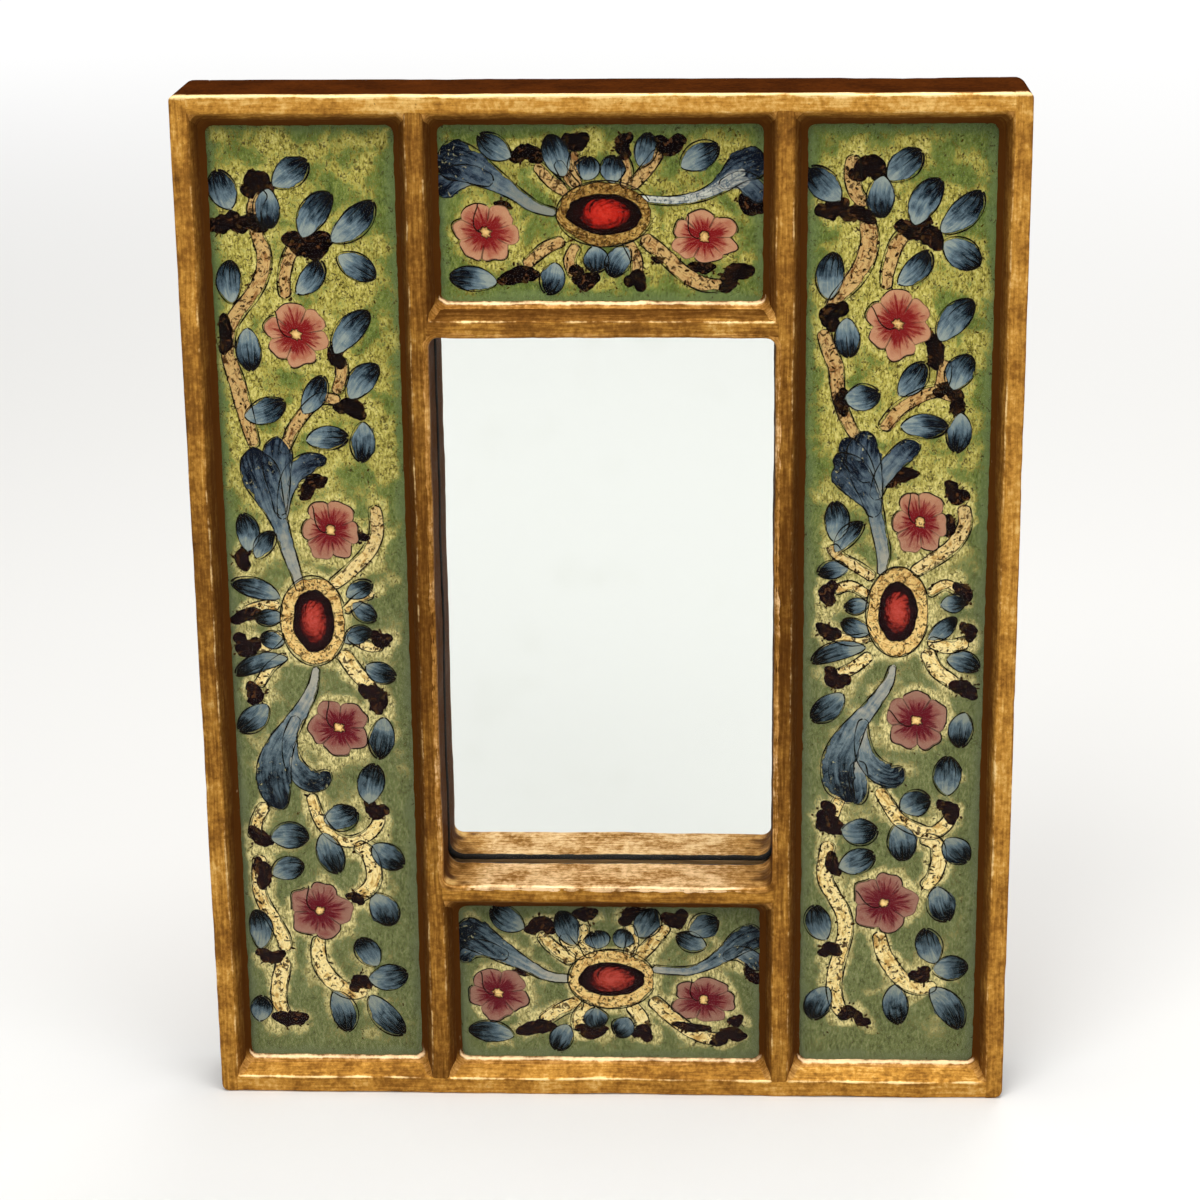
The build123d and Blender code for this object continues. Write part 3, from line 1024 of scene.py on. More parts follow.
def round_outer_corner(point: Vector, plan: Layout, sunk: float) -> Vector:
    """Rounds the frame's four outer corners, more towards the back, and keeps points in the box.

    Args:
        point: A point of a bar.
        plan: The mirror's layout.
        sunk: How far the point stays inside the frame's skin.

    Returns:
        The point, moved in where it stood outside.
    """
    share = clamp((point.y - plan.front) / (plan.back - plan.front))
    # The two lower corners are worn rounder than the two upper ones.
    radius = (1.8 if point.z > plan.height / 2 else 2.8) + 1.8 * share
    skin = 0.04 + sunk
    half_wide, half_tall = plan.half_width - skin, plan.height / 2 - skin
    across, up = point.x, point.z - plan.height / 2
    dx, dz = abs(across) - (half_wide - radius), abs(up) - (half_tall - radius)
    if dx > 0 and dz > 0 and hypot(dx, dz) > radius:
        pull = radius / hypot(dx, dz)
        across = copysign(half_wide - radius + dx * pull, across)
        up = copysign(half_tall - radius + dz * pull, up)
    across = min(max(across, -half_wide), half_wide)
    up = min(max(up, -half_tall), half_tall)
    return Vector((across, point.y, up + plan.height / 2))


@dataclass
class GiltFrame:
    """The eight bars, the gesso lining of the well and the putty beads round the panes."""

    layout: Layout
    outer_face: float = 5.3
    inner_face: float = 5.0
    upright_slope: float = 2.6
    rail_slope: float = 3.3
    arris: float = 0.9
    back_arris: float = 0.8
    lip_radius: float = 2.8
    deep_radius: float = 4.5
    gap: float = 1.6

    def outer_corners(self, out: float, inward: float, slope: float) -> list[Triple]:
        """Gives the section of a stile or rail.

        Args:
            out: Where its outer side lies.
            inward: -1 or 1, the way to the frame's middle.
            slope: How far its inner side slants in.

        Returns:
            The section's corners with their radii.
        """
        plan = self.layout
        face = out + inward * self.outer_face
        return [
            (out, plan.front, self.arris),
            (face, plan.front, self.arris),
            (face + inward * slope, plan.glass, 0.3),
            (face + inward * slope, plan.back, 0.2),
            (out, plan.back, self.back_arris),
        ]

    def outer_bars(self) -> list[GiltBar]:
        """Describes the two stiles and the two rails.

        Returns:
            The four bars.
        """
        plan, face, slant = self.layout, self.outer_face, self.upright_slope
        tall, reach, made = plan.height, plan.half_width - self.outer_face, []
        for side, node, tone, waist in (
            (-1, "left_stile", 0.28, 0.22), (1, "right_stile", 0.22, 0.0)
        ):
            out = side * plan.half_width
            arrises = [
                Arris(out, plan.front, 0.0, tall, 0.4),
                Arris(out - side * face, plan.front, face, tall - face, 0.45),
            ]
            corners = self.outer_corners(out, -side, slant)
            stile = GiltBar(node, Run.UPRIGHT, 0.0, tall, corners, arrises, plan, 0.86, tone, waist)
            stile.outer_side, stile.top_rub_and_highlight = out, 0.95
            made.append(stile)
        near, far = plan.half_sight, plan.half_sight + self.inner_face
        # The top rail's outer arris takes a strong painted highlight and its face a lighter tone,
        # lit from above; its slope faces down and takes painted shade. The bottom rail's slope
        # faces up and stays light, and its inner arris takes a painted highlight.
        for end, node, deep, rubs_and_highlights, tone in (
            (1, "top_rail", 0.8, (1.05, 0.35), -0.1), (-1, "bottom_rail", 0.2, (0.15, 0.7), 0.2)
        ):
            out = plan.height if end > 0 else 0.0
            arrises = [Arris(out, plan.front, -reach - 3, reach + 3, rubs_and_highlights[0], 1.0)]
            for run in ((-reach, -far), (-near, near), (far, reach)):
                arrises.append(Arris(out - end * face, plan.front, *run, rubs_and_highlights[1]))
            corners = self.outer_corners(out, -end, self.rail_slope)
            ends = (-reach - 3.0, reach + 3.0)
            rail = GiltBar(node, Run.LEVEL, *ends, corners, arrises, plan, deep, tone)
            rail.outer_side, rail.tuck, rail.tuck_lean = out, (-reach, reach), slant
            made.append(rail)
        return made

    def inner_bars(self) -> list[GiltBar]:
        """Describes the two dividers and the two crossbars.

        Returns:
            The four bars.
        """
        plan, face, made = self.layout, self.inner_face, []
        ends = (self.outer_face, plan.height - self.outer_face)
        for side, node, tone, waist in (
            (-1, "left_divider", 0.48, 0.16), (1, "right_divider", 0.4, 0.28)
        ):
            near, far = side * plan.half_sight, side * (plan.half_sight + face)
            slope = side * self.upright_slope
            corners = [
                (near, plan.front, self.arris),
                (far, plan.front, self.arris),
                (far + slope, plan.glass, 0.3),
                (far + slope, plan.seat, 0.1),
                (near - slope, plan.seat, 0.1),
                (near - slope, plan.glass, 0.3),
            ]
            arrises = [
                Arris(far, plan.front, *ends, 0.4),
                Arris(near, plan.front, ends[0], plan.sight_low - face, 0.35),
                Arris(near, plan.front, plan.sight_high + face, ends[1], 0.35),
            ]
            run = (ends[0] - 2.5, ends[1] + 2.5)
            bar = GiltBar(node, Run.UPRIGHT, *run, corners, arrises, plan, 0.9, tone, waist)
            bar.tuck, bar.tuck_lean = ends, self.rail_slope
            made.append(bar)
        near = plan.half_sight
        # The upper crossbar's arris faces up and takes more painted highlight than the lower one's.
        for end, node, deep, rub_and_highlight, tone in (
            (1, "upper_crossbar", 0.72, 0.5, 0.42), (-1, "lower_crossbar", 0.75, 0.2, 0.4)
        ):
            lip = plan.sight_high if end > 0 else plan.sight_low
            top = lip + end * face
            foot = top + end * self.rail_slope
            corners = [
                (lip, plan.front, 0.1),
                (top, plan.front, self.arris),
                (foot, plan.glass, 0.3),
                (foot, plan.seat, 0.1),
                (lip, plan.seat, 0.1),
            ]
            arrises = [Arris(top, plan.front, -near, near, rub_and_highlight)]
            run = (-near - 3.0, near + 3.0)
            bar = GiltBar(node, Run.LEVEL, *run, corners, arrises, plan, deep, tone)
            bar.tuck, bar.tuck_lean = (-near, near), self.upright_slope
            made.append(bar)
        for bar in made:
            bar.well_side = True
        return made

    def build_lining(self, finish: Finish, black: Finish) -> None:
        """Builds the gesso that lines the well, from its lip to the mirror.

        Args:
            finish: The gilding.
            black: Very dark colour on the rebate's edge: a painted shadow for the unlit gap between
                the lining and the mirror.
        """
        plan = self.layout
        front, wall = plan.front, plan.mirror - self.gap - plan.front
        # Each loop: how far outside the sight opening, its depth and its corner radius.
        loops = [
            (2.3, front + 0.2, 5.0), (1.6, front + 0.02, 4.4), (1.1, front - 0.05, 3.9),
            (0.7, front - 0.02, 3.5), (0.4, front + 0.1, 3.2), (0.17, front + 0.33, 3.0),
            (0.04, front + 0.7, 2.9),
        ]
        for share in np.linspace(0.07, 1.0, 13):
            radius = self.lip_radius + (self.deep_radius - self.lip_radius) * float(share)
            loops.append((0.0, front + wall * float(share), radius))
        # The rebate's rim takes the very dark finish: a painted shadow for the unlit gap at the
        # mirror's edge.
        rebate = [loops[-1], (0.3, plan.mirror - 0.5, 4.8), (1.15, plan.mirror - 0.12, 5.4)]
        draft = Draft()
        for part, material in ((loops, 0), (rebate, 1)):
            rows = [row for loop in part for row in self.lining_loop(*loop)]
            draft.add_grid(rows, len(rows) // len(part), WEAR_LIGHT_AND_SHADE, closed=True, finish=material)
        finishes = [finish, black]
        draft.make("gesso_well_lining", finishes, "gilded_gesso", replaces="well_lining")

    def lining_loop(self, offset: float, depth: float, radius: float) -> list[Row]:
        """Draws one loop of the well's lining.

        Args:
            offset: How far outside the sight opening.
            depth: Its depth.
            radius: Its corners' radius.

        Returns:
            Its points with their rubbing and highlight, shade, outer mark and grain.
        """
        plan = self.layout
        side, low, high = plan.half_sight, plan.sight_low, plan.sight_high
        outline = rounded_outline(cornered((-side, side, low, high), radius), 1.5, turn=9)
        middle = np.array([0.0, (low + high) / 2])
        half = np.array([side, high - middle[1]])
        grown = middle + (outline - middle) * (1 + offset / half)
        rows = []
        for (x, z), way in zip(grown, trip_along(outline)):
            point = Vector((x, depth, z))
            ragged = 0.1 * noise.noise(point / 3.0) if offset > 0.3 else 0.0
            if abs(depth - plan.mirror + self.gap) < 0.1:
                ragged += 0.4 * noise.noise(point / 2.2)
            point += hand_wobble(point, 0.34) + Vector((0, ragged, 0))
            floor, ceiling = clamp((low + 3.5 - z) / 3.0), clamp((z - high + 3.5) / 3.0)
            deep = clamp((depth - plan.front) / 3.5)
            lip = bell((depth - plan.front - 0.2) / 0.6)
            patchy = 0.75 + 0.8 * noise.noise(Vector((way / 8.0, 1.7, 0.2)))
            # The lower wall faces up to the lamps: its gesso is pale and marked by rubbing along
            # its length, partly painted light. Its corners darken in patches and the other walls
            # darken deeper in, painted shade; the lip's pale edge, fainter on the ceiling, is
            # partly painted highlight.
            corner = bell((side - abs(x)) / 8.0)
            corner_shade_patches = max(0.0, 0.5 + 1.4 * noise.noise(Vector((way / 4.0, depth / 4.0, 3.1))))
            side_rub_and_light = (0.35 - 0.2 * ceiling) * lip * patchy * (1 - corner * floor)
            floor_rub_and_light = 0.42 + 0.3 * lip * patchy - 0.5 * corner
            wear_and_highlight = side_rub_and_light * (1 - floor) + floor_rub_and_light * floor
            shade = (0.3 + 0.6 * deep) * (1 - floor) + (0.1 + 0.7 * corner * corner_shade_patches) * floor
            rows.append((*point, wear_and_highlight, shade, 0.0, way, depth, offset * 2))
        return rows

    def build_bead(self, panel: Panel, finish: Finish) -> None:
        """Builds the putty round a pane: a bead on the glass and a web in each corner.

        Args:
            panel: The panel that it goes round.
            finish: The gilding.
        """
        slant, fall = self.upright_slope, self.rail_slope
        tall = self.layout.glass - self.layout.front
        # Each loop: how far outside the opening across and up, its rise and its corner radius.
        loops = [
            (-1.0, -1.0, -0.05, 2.4), (-0.8, -0.8, 0.12, 2.5), (-0.35, -0.35, 0.42, 2.6),
            (0.05, 0.05, 0.8, 2.7), (0.45, 0.6, 1.35, 2.8),
        ]
        for rise in (2.1, 3.0, 3.9, 4.8, 5.5):
            share, skin = rise / tall, 0.2 + 0.12 * rise / tall
            loops.append((slant * share + skin, fall * share + skin, rise, 3.0))
        hidden = ((0.45, 0.5, 3.2), (1.0, 0.3, 3.6), (1.8, 0.5, 4.2), (2.0, 1.5, 4.2))
        for beyond, drop, radius in hidden:
            loops.append((slant + beyond, fall + beyond, tall - drop, radius))
        rows = [row for loop in loops for row in self.bead_loop(panel.span, *loop)]
        draft = Draft()
        draft.add_grid(rows, len(rows) // len(loops), WEAR_LIGHT_AND_SHADE, closed=True)
        node = f"{panel.name}_bead"
        draft.make(f"putty_{node}", [finish], "gilded_gesso", replaces=node)

    def bead_loop(
        self, span: Span, out_x: float, out_z: float, rise: float, radius: float
    ) -> list[Row]:
        """Draws one loop of the putty round a pane.

        Args:
            span: The pane's opening.
            out_x: How far outside the opening it runs across.
            out_z: How far outside the opening it runs up.
            rise: How far it stands off the glass.
            radius: Its corners' radius.

        Returns:
            Its points with their rubbing and highlight, shade, outer mark and grain.
        """
        plan, (x0, x1, z0, z1) = self.layout, span
        # Every loop has as many points as the opening's own outline, so that they join up.
        outline = rounded_outline(cornered(span, radius), 1.3, turn=9)
        middle, half = np.array([x0 + x1, z0 + z1]) / 2, np.array([x1 - x0, z1 - z0]) / 2
        grown = middle + (outline - middle) * (1 + np.array([out_x, out_z]) / half)
        rows = []
        for (x, z), way in zip(grown, trip_along(outline)):
            spot, smear = Vector((x, out_x, z)), 0.0
            if rise < 1.0:
                smear = noise.noise(spot / 5.0) * 0.4 + noise.noise(spot / 1.6) * 0.2
            push_x = copysign(smear, middle[0] - x) if min(x - x0, x1 - x) < 4.0 else 0.0
            push_z = copysign(smear, middle[1] - z) if min(z - z0, z1 - z) < 4.0 else 0.0
            point = Vector((x + push_x, plan.glass - rise, z + push_z))
            if rise > 1.0:
                point += hand_wobble(point, 0.34)
            # Along the pane's bottom edge the bead faces up to the lamps: its stronger pale edge is
            # partly a painted highlight and its lighter tone painted light. The deeper it lies in
            # the recess, the more painted shade it takes.
            top, bottom = clamp((z - (z1 - 4.0)) / 4.0), clamp((z0 + 4.0 - z) / 4.0)
            wear_and_highlight = (0.12 - 0.1 * top + 0.65 * bottom) * bell((rise - 0.35) / 0.5)
            sunk_in_shade = 1 - rise / (plan.glass - plan.front)
            shade = (0.92 - 0.1 * top - 0.65 * bottom) * sunk_in_shade + 0.12
            rows.append((*point, wear_and_highlight, shade, 0.0, way, rise * 2, out_x))
        return rows


# ---------------------------------------------------------------- painted glass


@dataclass(frozen=True)
class Flower:
    """A five or six petalled flower: its place, its radii, its petals and their turn."""

    x: float
    z: float
    wide: float
    tall: float
    petals: int = 5
    turn: float = 0.3

    def rim(self, angle: float, number: int) -> Pair:
        """Says how far out the petals reach in a direction.

        Args:
            angle: The direction, in radians.
            number: The flower's number, which varies its petals.

        Returns:
            The reach as a share of the radius, and how far across its petal the direction lies.
        """
        sector = 2 * pi / self.petals
        turn = angle - self.turn + 0.12 * sin(angle * 2 + number)
        phase = (turn % sector) / sector
        lobe = abs(sin(pi * phase)) ** 0.5
        spot = Vector((cos(angle) * 2.4, sin(angle) * 2.4, number * 3.7))
        return (0.75 + 0.25 * lobe) * (1 + 0.16 * noise.noise(spot)), phase

    def place(self, angle: float, reach: float) -> Pair:
        """Gives the place in a direction, at a share of the flower's radii."""
        across, up = cos(angle) * self.wide, sin(angle) * self.tall
        return self.x + across * reach, self.z + up * reach


@dataclass(frozen=True)
class Medallion:
    """The jewelled oval at a panel's middle: place, gold ring, dark oval and jewel radii."""

    x: float
    z: float
    ring: Pair
    oval: Pair
    jewel: Pair


@dataclass
class Panel:
    """One painted pane: what is painted on the back of its glass, and the foil behind."""

    # Leaves and buds are (foot x, foot z, tip x, tip z, width). Stems and trumpets are lines of
    # (x, z, width). All are as seen from the front, in millimetres.
    name: str
    leaves: list[Dab]
    buds: list[Dab]
    stems: list[Stroke]
    trumpets: list[Stroke]
    flowers: list[Flower]
    medallion: Medallion
    chalk: list[Stroke] = field(default_factory=list)
    span: Span = (0.0, 0.0, 0.0, 0.0)
    layout: Layout | None = None

    def set_in(self, layout: Layout) -> None:
        """Takes the pane's opening from its CAD node.

        Args:
            layout: The mirror's levels.
        """
        self.layout = layout
        low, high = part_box(f"{self.name}_pane")
        gap = 0.3
        self.span = (low.x / MM - gap, high.x / MM + gap, low.z / MM - gap, high.z / MM + gap)

    def low_share(self, z: float | np.ndarray) -> float | np.ndarray:
        """Says how far down a height is, from 0 in the upper half to 1 below, where gold tones are
        lighter as a painted reflection.
        """
        t = np.clip((215.0 - z) / 75.0, 0, 1)
        return t * t * (3 - 2 * t)

    def capsules(self) -> np.ndarray:
        """Lists what the gold halo surrounds.

        Returns:
            Rows of two ends, a radius and a strength.
        """
        rows: list[Row] = []
        for strokes, strength in ((self.stems, 1.0), (self.trumpets, 0.35)):
            for stroke in strokes:
                for (xa, za, wa), (xb, zb, wb) in zip(stroke, stroke[1:]):
                    rows.append((xa, za, xb, zb, (wa + wb) / 4, strength))
        for dabs, share, strength in ((self.leaves, 0.4, 0.3), (self.buds, 1.0, 0.7)):
            for xa, za, xb, zb, wide in dabs:
                far = (xa + (xb - xa) * share, za + (zb - za) * share)
                rows.append((xa, za, *far, wide * 0.4, strength))
        for f in self.flowers:
            rows.append((f.x, f.z, f.x + 0.1, f.z, (f.wide + f.tall) / 2, 0.85))
        m = self.medallion
        reach = min(m.ring)
        dx, dz = m.ring[0] - reach, m.ring[1] - reach
        rows.append((m.x - dx, m.z - dz, m.x + dx + 0.1, m.z + dz, reach, 1.0))
        return np.array(rows)

    def build_foil(self, finish: Finish) -> None:
        """Builds the crinkled foil behind the paint.

        Args:
            finish: The speckled ground.
        """
        x0, x1, z0, z1 = self.span
        inset, spacing = 0.3, 0.8
        xs = np.linspace(x0 + inset, x1 - inset, int((x1 - x0) / spacing))
        zs = np.linspace(z0 + inset, z1 - inset, int((z1 - z0) / spacing))
        gx, gz = (g.ravel() for g in np.meshgrid(xs, zs))
        halo = np.zeros(gx.shape)
        for xa, za, xb, zb, radius, strength in self.capsules():
            dx, dz = xb - xa, zb - za
            t = np.clip(((gx - xa) * dx + (gz - za) * dz) / (dx * dx + dz * dz), 0, 1)
            far = np.hypot(gx - xa - t * dx, gz - za - t * dz) - radius
            halo = np.maximum(halo, strength * np.clip(1 - far / 3.2, 0, 1))
        # The halos round the motifs are strong below and faint above: their brightness below is a
        # painted reflection of the pale floor in the gold leaf. Above, the tall panels are barer
        # and the wide ones greener.
        low = self.low_share(gz)
        halo = halo * (0.45 + 0.55 * low) + (0.12 if z1 - z0 > x1 - x0 else -0.22) * (1 - low)
        rim = np.clip(1 - np.minimum.reduce([gx - x0, x1 - gx, gz - z0, z1 - gz]) / 6.5, 0, 1)
        crinkle = np.array([noise.noise(Vector((x, z, 7.0)) / 2.4) for x, z in zip(gx, gz)])
        depth = self.layout.foil + 0.08 + 0.05 * crinkle
        draft = Draft()
        rows = np.stack([gx, depth, gz, halo, rim, low], axis=-1)
        draft.add_grid(rows, len(xs), ("halo", "rim", "low"))
        node = f"{self.name}_foil"
        draft.make(f"crinkled_{node}", [finish], "painted_foil", replaces=node, solid=False)

    def build_pane(self, finish: Finish) -> None:
        """Builds the pane with its ground edges.

        Args:
            finish: The glass.
        """
        (x0, x1, z0, z1), inset = self.span, 0.3
        span = (x0 + inset, x1 - inset, z0 + inset, z1 - inset)
        draft = slab_draft(span, self.layout.glass, self.layout.pane_back, 0.25)
        node = f"{self.name}_pane"
        pane = draft.make(f"glass_{node}", [finish], "pane_glass", replaces=node, smooth=False)
        # Lamps shine through the pane on to the paint.
        pane.visible_shadow = False

    def build_strokes(
        self,
        kind: str,
        lines: list[np.ndarray],
        lift: float,
        finish: Finish,
        waver: float,
        columns: int,
    ) -> None:
        """Builds brush strokes of one kind as one thin layer of paint.

        Args:
            kind: What they are, for the piece's name.
            lines: Their lines, with widths.
            lift: How far the layer lies behind the pane.
            finish: The paint.
            waver: How far their sides wander, as a share of their width.
            columns: Points across each stroke.
        """
        draft = Draft()
        for number, line in enumerate(lines):
            depth = self.layout.pane_back + lift + 0.004 * number / len(lines)
            middle, half = line[:, :2], np.abs(line[:, 2]) * 0.5
            trip, across = trip_along(line), across_line(line[:, :2])
            seed = number * 7.31 + name_number(self.name) % 50
            rows = []
            for i, (x, z) in enumerate(middle):
                wander = [
                    1 + waver * (1.3 * noise.noise(Vector((trip[i] / 3.4, seed, side)))
                                 + 0.7 * noise.noise(Vector((trip[i] / 0.9, seed, side))))
                    for side in (-5.0, 5.0)
                ]
                for v in np.linspace(-1, 1, columns):
                    reach = half[i] * wander[0 if v < 0 else 1]
                    px, pz = x + across[i, 0] * v * reach, z + across[i, 1] * v * reach
                    told = ((1 - abs(v)) * reach, trip[i] / trip[-1], self.low_share(pz))
                    rows.append((px, depth, pz, *told, v * reach, trip[i], seed))
            draft.add_grid(rows, columns, BRUSHED)
        draft.make(f"painted_{kind}_{self.name}", [finish], "painted_foil", solid=False)

    def dab_lines(self, dabs: list[Dab], skew: float, fullness: float) -> list[np.ndarray]:
        """Turns leaves or blots into strokes that swell and narrow.

        Args:
            dabs: Foot, tip and width of each.
            skew: Where it is widest: above 1 moves that towards the tip.
            fullness: How round its ends are; lower is rounder.

        Returns:
            One line for each.
        """
        made = []
        for number, (xa, za, xb, zb, wide) in enumerate(dabs):
            t = 0.5 - 0.5 * np.cos(np.linspace(0, pi, 24))
            bow = 0.08 * sin(number * 2.4 + 0.6) * np.sin(pi * t)
            x = xa + (xb - xa) * t - (zb - za) * bow
            z = za + (zb - za) * t + (xb - xa) * bow
            swell = np.clip(np.sin(pi * t**skew), 0.0, 1) ** fullness
            made.append(np.stack([x, z, wide * np.maximum(swell, 0.02)], axis=-1))
        return made

    def blot_buds(self) -> list[Dab]:
        """Breaks each bud into blots that run together.

        Returns:
            The blots: both ends and a width.
        """
        blots = []
        for number, (xa, za, xb, zb, wide) in enumerate(self.buds):
            blots.append((xa, za, xb, zb, wide * 0.85))
            dx, dz = xb - xa, zb - za
            long = hypot(dx, dz)
            for k, (first, last, side) in enumerate(((-0.2, 0.45, 0.24), (0.5, 1.12, -0.22))):
                shift = side * (1 if (number + k) % 2 else -1) * wide / long
                sx, sz = -dz * shift, dx * shift
                foot = (xa + dx * first + sx, za + dz * first + sz)
                blots.append((*foot, xa + dx * last + sx, za + dz * last + sz, wide * 0.6))
        return blots

    def blunt_lines(self, strokes: list[Stroke]) -> list[np.ndarray]:
        """Turns stems or trumpets into smooth lines whose ends are rounded.

        Args:
            strokes: The points of each, with widths.

        Returns:
            The smooth lines, with widths.
        """
        made = []
        for stroke in strokes:
            line = smooth_path(stroke, 0.6)
            trip = trip_along(line)
            reach = np.maximum(np.abs(line[:, 2]) * 0.45, 0.3)
            share = np.clip(np.minimum(trip, trip[-1] - trip) / reach, 0.003, 1)
            line[:, 2] *= np.sqrt(share * (2 - share))
            made.append(line)
        return made

    def fleck_lines(self) -> list[np.ndarray]:
        """Scatters dark flecks along the stems, in spikes round the buds and over the ground.

        Returns:
            Short lines with widths.
        """
        dice = random.Random(name_number(self.name))
        flecks: list[Dab] = []

        def add(x: float, z: float, angle: float, long: float, wide: float) -> None:
            """Notes one fleck by its middle, its direction and its size."""
            dx, dz = cos(angle) * long / 2, sin(angle) * long / 2
            flecks.append((x - dx, z - dz, x + dx, z + dz, wide))

        for stem in self.stems:
            line = smooth_path(stem, 1.3)
            for (x, z, wide), (ax, az) in zip(line, across_line(line[:, :2])):
                if dice.random() < 0.62:
                    off = dice.choice((-1, 1)) * dice.uniform(0.1, 0.62) * wide
                    long, thick = dice.uniform(0.5, 1.9), dice.uniform(0.3, 0.85)
                    add(x + ax * off, z + az * off, dice.uniform(0, pi), long, thick)
        for xa, za, xb, zb, wide in self.buds:
            half, lean = dist((xa, za), (xb, zb)) / 2, atan2(zb - za, xb - xa)
            for _ in range(8):
                turn = dice.uniform(0, 2 * pi)
                near = dice.uniform(0.8, 1.25)
                u, v = cos(turn) * half * near, sin(turn) * wide / 2 * near
                x = (xa + xb) / 2 + u * cos(lean) - v * sin(lean)
                z = (za + zb) / 2 + u * sin(lean) + v * cos(lean)
                outward = turn + lean + dice.uniform(-0.5, 0.5)
                add(x, z, outward, dice.uniform(0.6, 1.6), dice.uniform(0.35, 0.9))
        x0, x1, z0, z1 = self.span
        for _ in range(int((x1 - x0) * (z1 - z0) / 110)):
            x, z = dice.uniform(x0 + 5, x1 - 4), dice.uniform(z0 + 4, z1 - 4)
            # The upper half is more flecked than the lower.
            if dice.random() > 0.65 * float(self.low_share(z)):
                add(x, z, dice.uniform(0.6, 2.6), dice.uniform(0.4, 1.3), dice.uniform(0.25, 0.55))
        made = self.dab_lines(flecks, 1.0, 0.6)
        return [line[::4] if len(line) > 8 else line for line in made]

    def build_flowers(self, petals: Finish, heart: Finish) -> None:
        """Builds the flowers' petals and, over them, their pale hearts.

        Args:
            petals: The rose paint.
            heart: The cream paint of the hearts.
        """
        petal_draft, heart_draft = Draft(), Draft()
        angles = np.linspace(0, 2 * pi, 120, endpoint=False)
        depth = self.layout.pane_back + 0.045
        for number, flower in enumerate(self.flowers):
            sector = 2 * pi / flower.petals
            radius = (flower.wide + flower.tall) / 2
            rows = []
            for share in np.linspace(0.04, 1.0, 14):
                for angle in angles:
                    rim, phase = flower.rim(angle, number)
                    x, z = flower.place(angle, rim * share)
                    seam = min(phase, 1 - phase) * sector * share * radius
                    seam += max(0.0, 3 - 6 * share)
                    told = ((1 - share) * rim * radius, share, self.low_share(z), seam)
                    grain = (angle * radius * 0.6, share * radius, number * 5.3)
                    rows.append((x, depth, z, *told, *grain))
            petal_draft.add_grid(rows, len(angles), (*BRUSHED, "seam"), closed=True)
            place = (flower.x, flower.z)
            self.add_oval(heart_draft, place, (1.75, 1.65), depth - 0.015, number, 0.55)
        kinds = (("petals", petal_draft, petals), ("hearts", heart_draft, heart))
        for kind, draft, finish in kinds:
            draft.make(f"painted_{kind}_{self.name}", [finish], "painted_foil", solid=False)

    def add_oval(
        self,
        draft: Draft,
        centre: Pair,
        radii: Pair,
        depth: float,
        number: int,
        waver: float = 0.08,
        hole: Pair | None = None,
    ) -> None:
        """Adds a hand-drawn oval, or a ring where it has a hole.

        Args:
            draft: The layer.
            centre: Its place.
            radii: Its half width and half height.
            depth: The layer's depth.
            number: Sets its waver.
            waver: How far its outline wanders, as a share of its radius.
            hole: Half width and half height of its hole.
        """
        angles = np.linspace(0, 2 * pi, 96, endpoint=False)
        inner = hole or (0.02, 0.02)
        band = (radii[0] + radii[1] - inner[0] - inner[1]) / 2
        rows = []
        for share in np.linspace(0.0, 1.0, 9):
            for angle in angles:
                across, up = cos(angle), sin(angle)
                turn = Vector((across * 1.9, up * 1.9, number * 2.9 + radii[0]))
                wander = 1 + waver * (noise.noise(turn) + 0.5 * noise.noise(turn * 2.7))
                wide, tall = (i + (r * wander - i) * share for i, r in zip(inner, radii))
                x, z = centre[0] + across * wide, centre[1] + up * tall
                near = min(1 - share, share) if hole else 1 - share
                grain = (angle * (wide + tall) / 2, share * band, number * 4.1)
                rows.append((x, depth, z, near * band, share, self.low_share(z), *grain))
        draft.add_grid(rows, len(angles), BRUSHED, closed=True)

    def build_medallion(self, paints: dict[str, Finish]) -> None:
        """Builds the medallion's gold ring, dark oval and red jewel.

        Args:
            paints: The finishes by name.
        """
        m, depth = self.medallion, self.layout.pane_back
        hole = (m.oval[0] - 0.6, m.oval[1] - 0.6)
        ring, oval = ("ring", m.ring, hole, 0.075), ("oval", m.oval, None, 0.06)
        jewel = ("jewel", m.jewel, None, 0.04)
        for number, (name, radii, inner, lift) in enumerate((ring, oval, jewel), 1):
            draft = Draft()
            self.add_oval(draft, (m.x, m.z), radii, depth + lift, number, hole=inner)
            draft.make(f"painted_{name}_{self.name}", [paints[name]], "painted_foil", solid=False)

    def pen_lines(self, drawn: list[np.ndarray]) -> list[np.ndarray]:
        """Draws the pen lines: round every leaf and stem, round petals and into the flowers.

        Args:
            drawn: The leaves, and then the other lines that the pen follows on both sides.

        Returns:
            Thin lines.
        """
        made: list[np.ndarray] = []
        for number, line in enumerate(drawn):
            middle, half = line[:, :2], np.abs(line[:, 2:3]) * 0.5
            slip = 0.35 * np.array([sin(number * 2.1), cos(number * 3.7)])
            for side in (-1, 1):
                path = middle + across_line(middle) * (half + 0.15) * side + slip
                press = 0.3 + 0.14 * np.sin(np.arange(len(line)) * 0.37 + number + side)
                if number < len(self.leaves):
                    press += np.linspace(-0.5, 0.4, len(line)).clip(0.0)
                made.append(np.column_stack([path, press]))
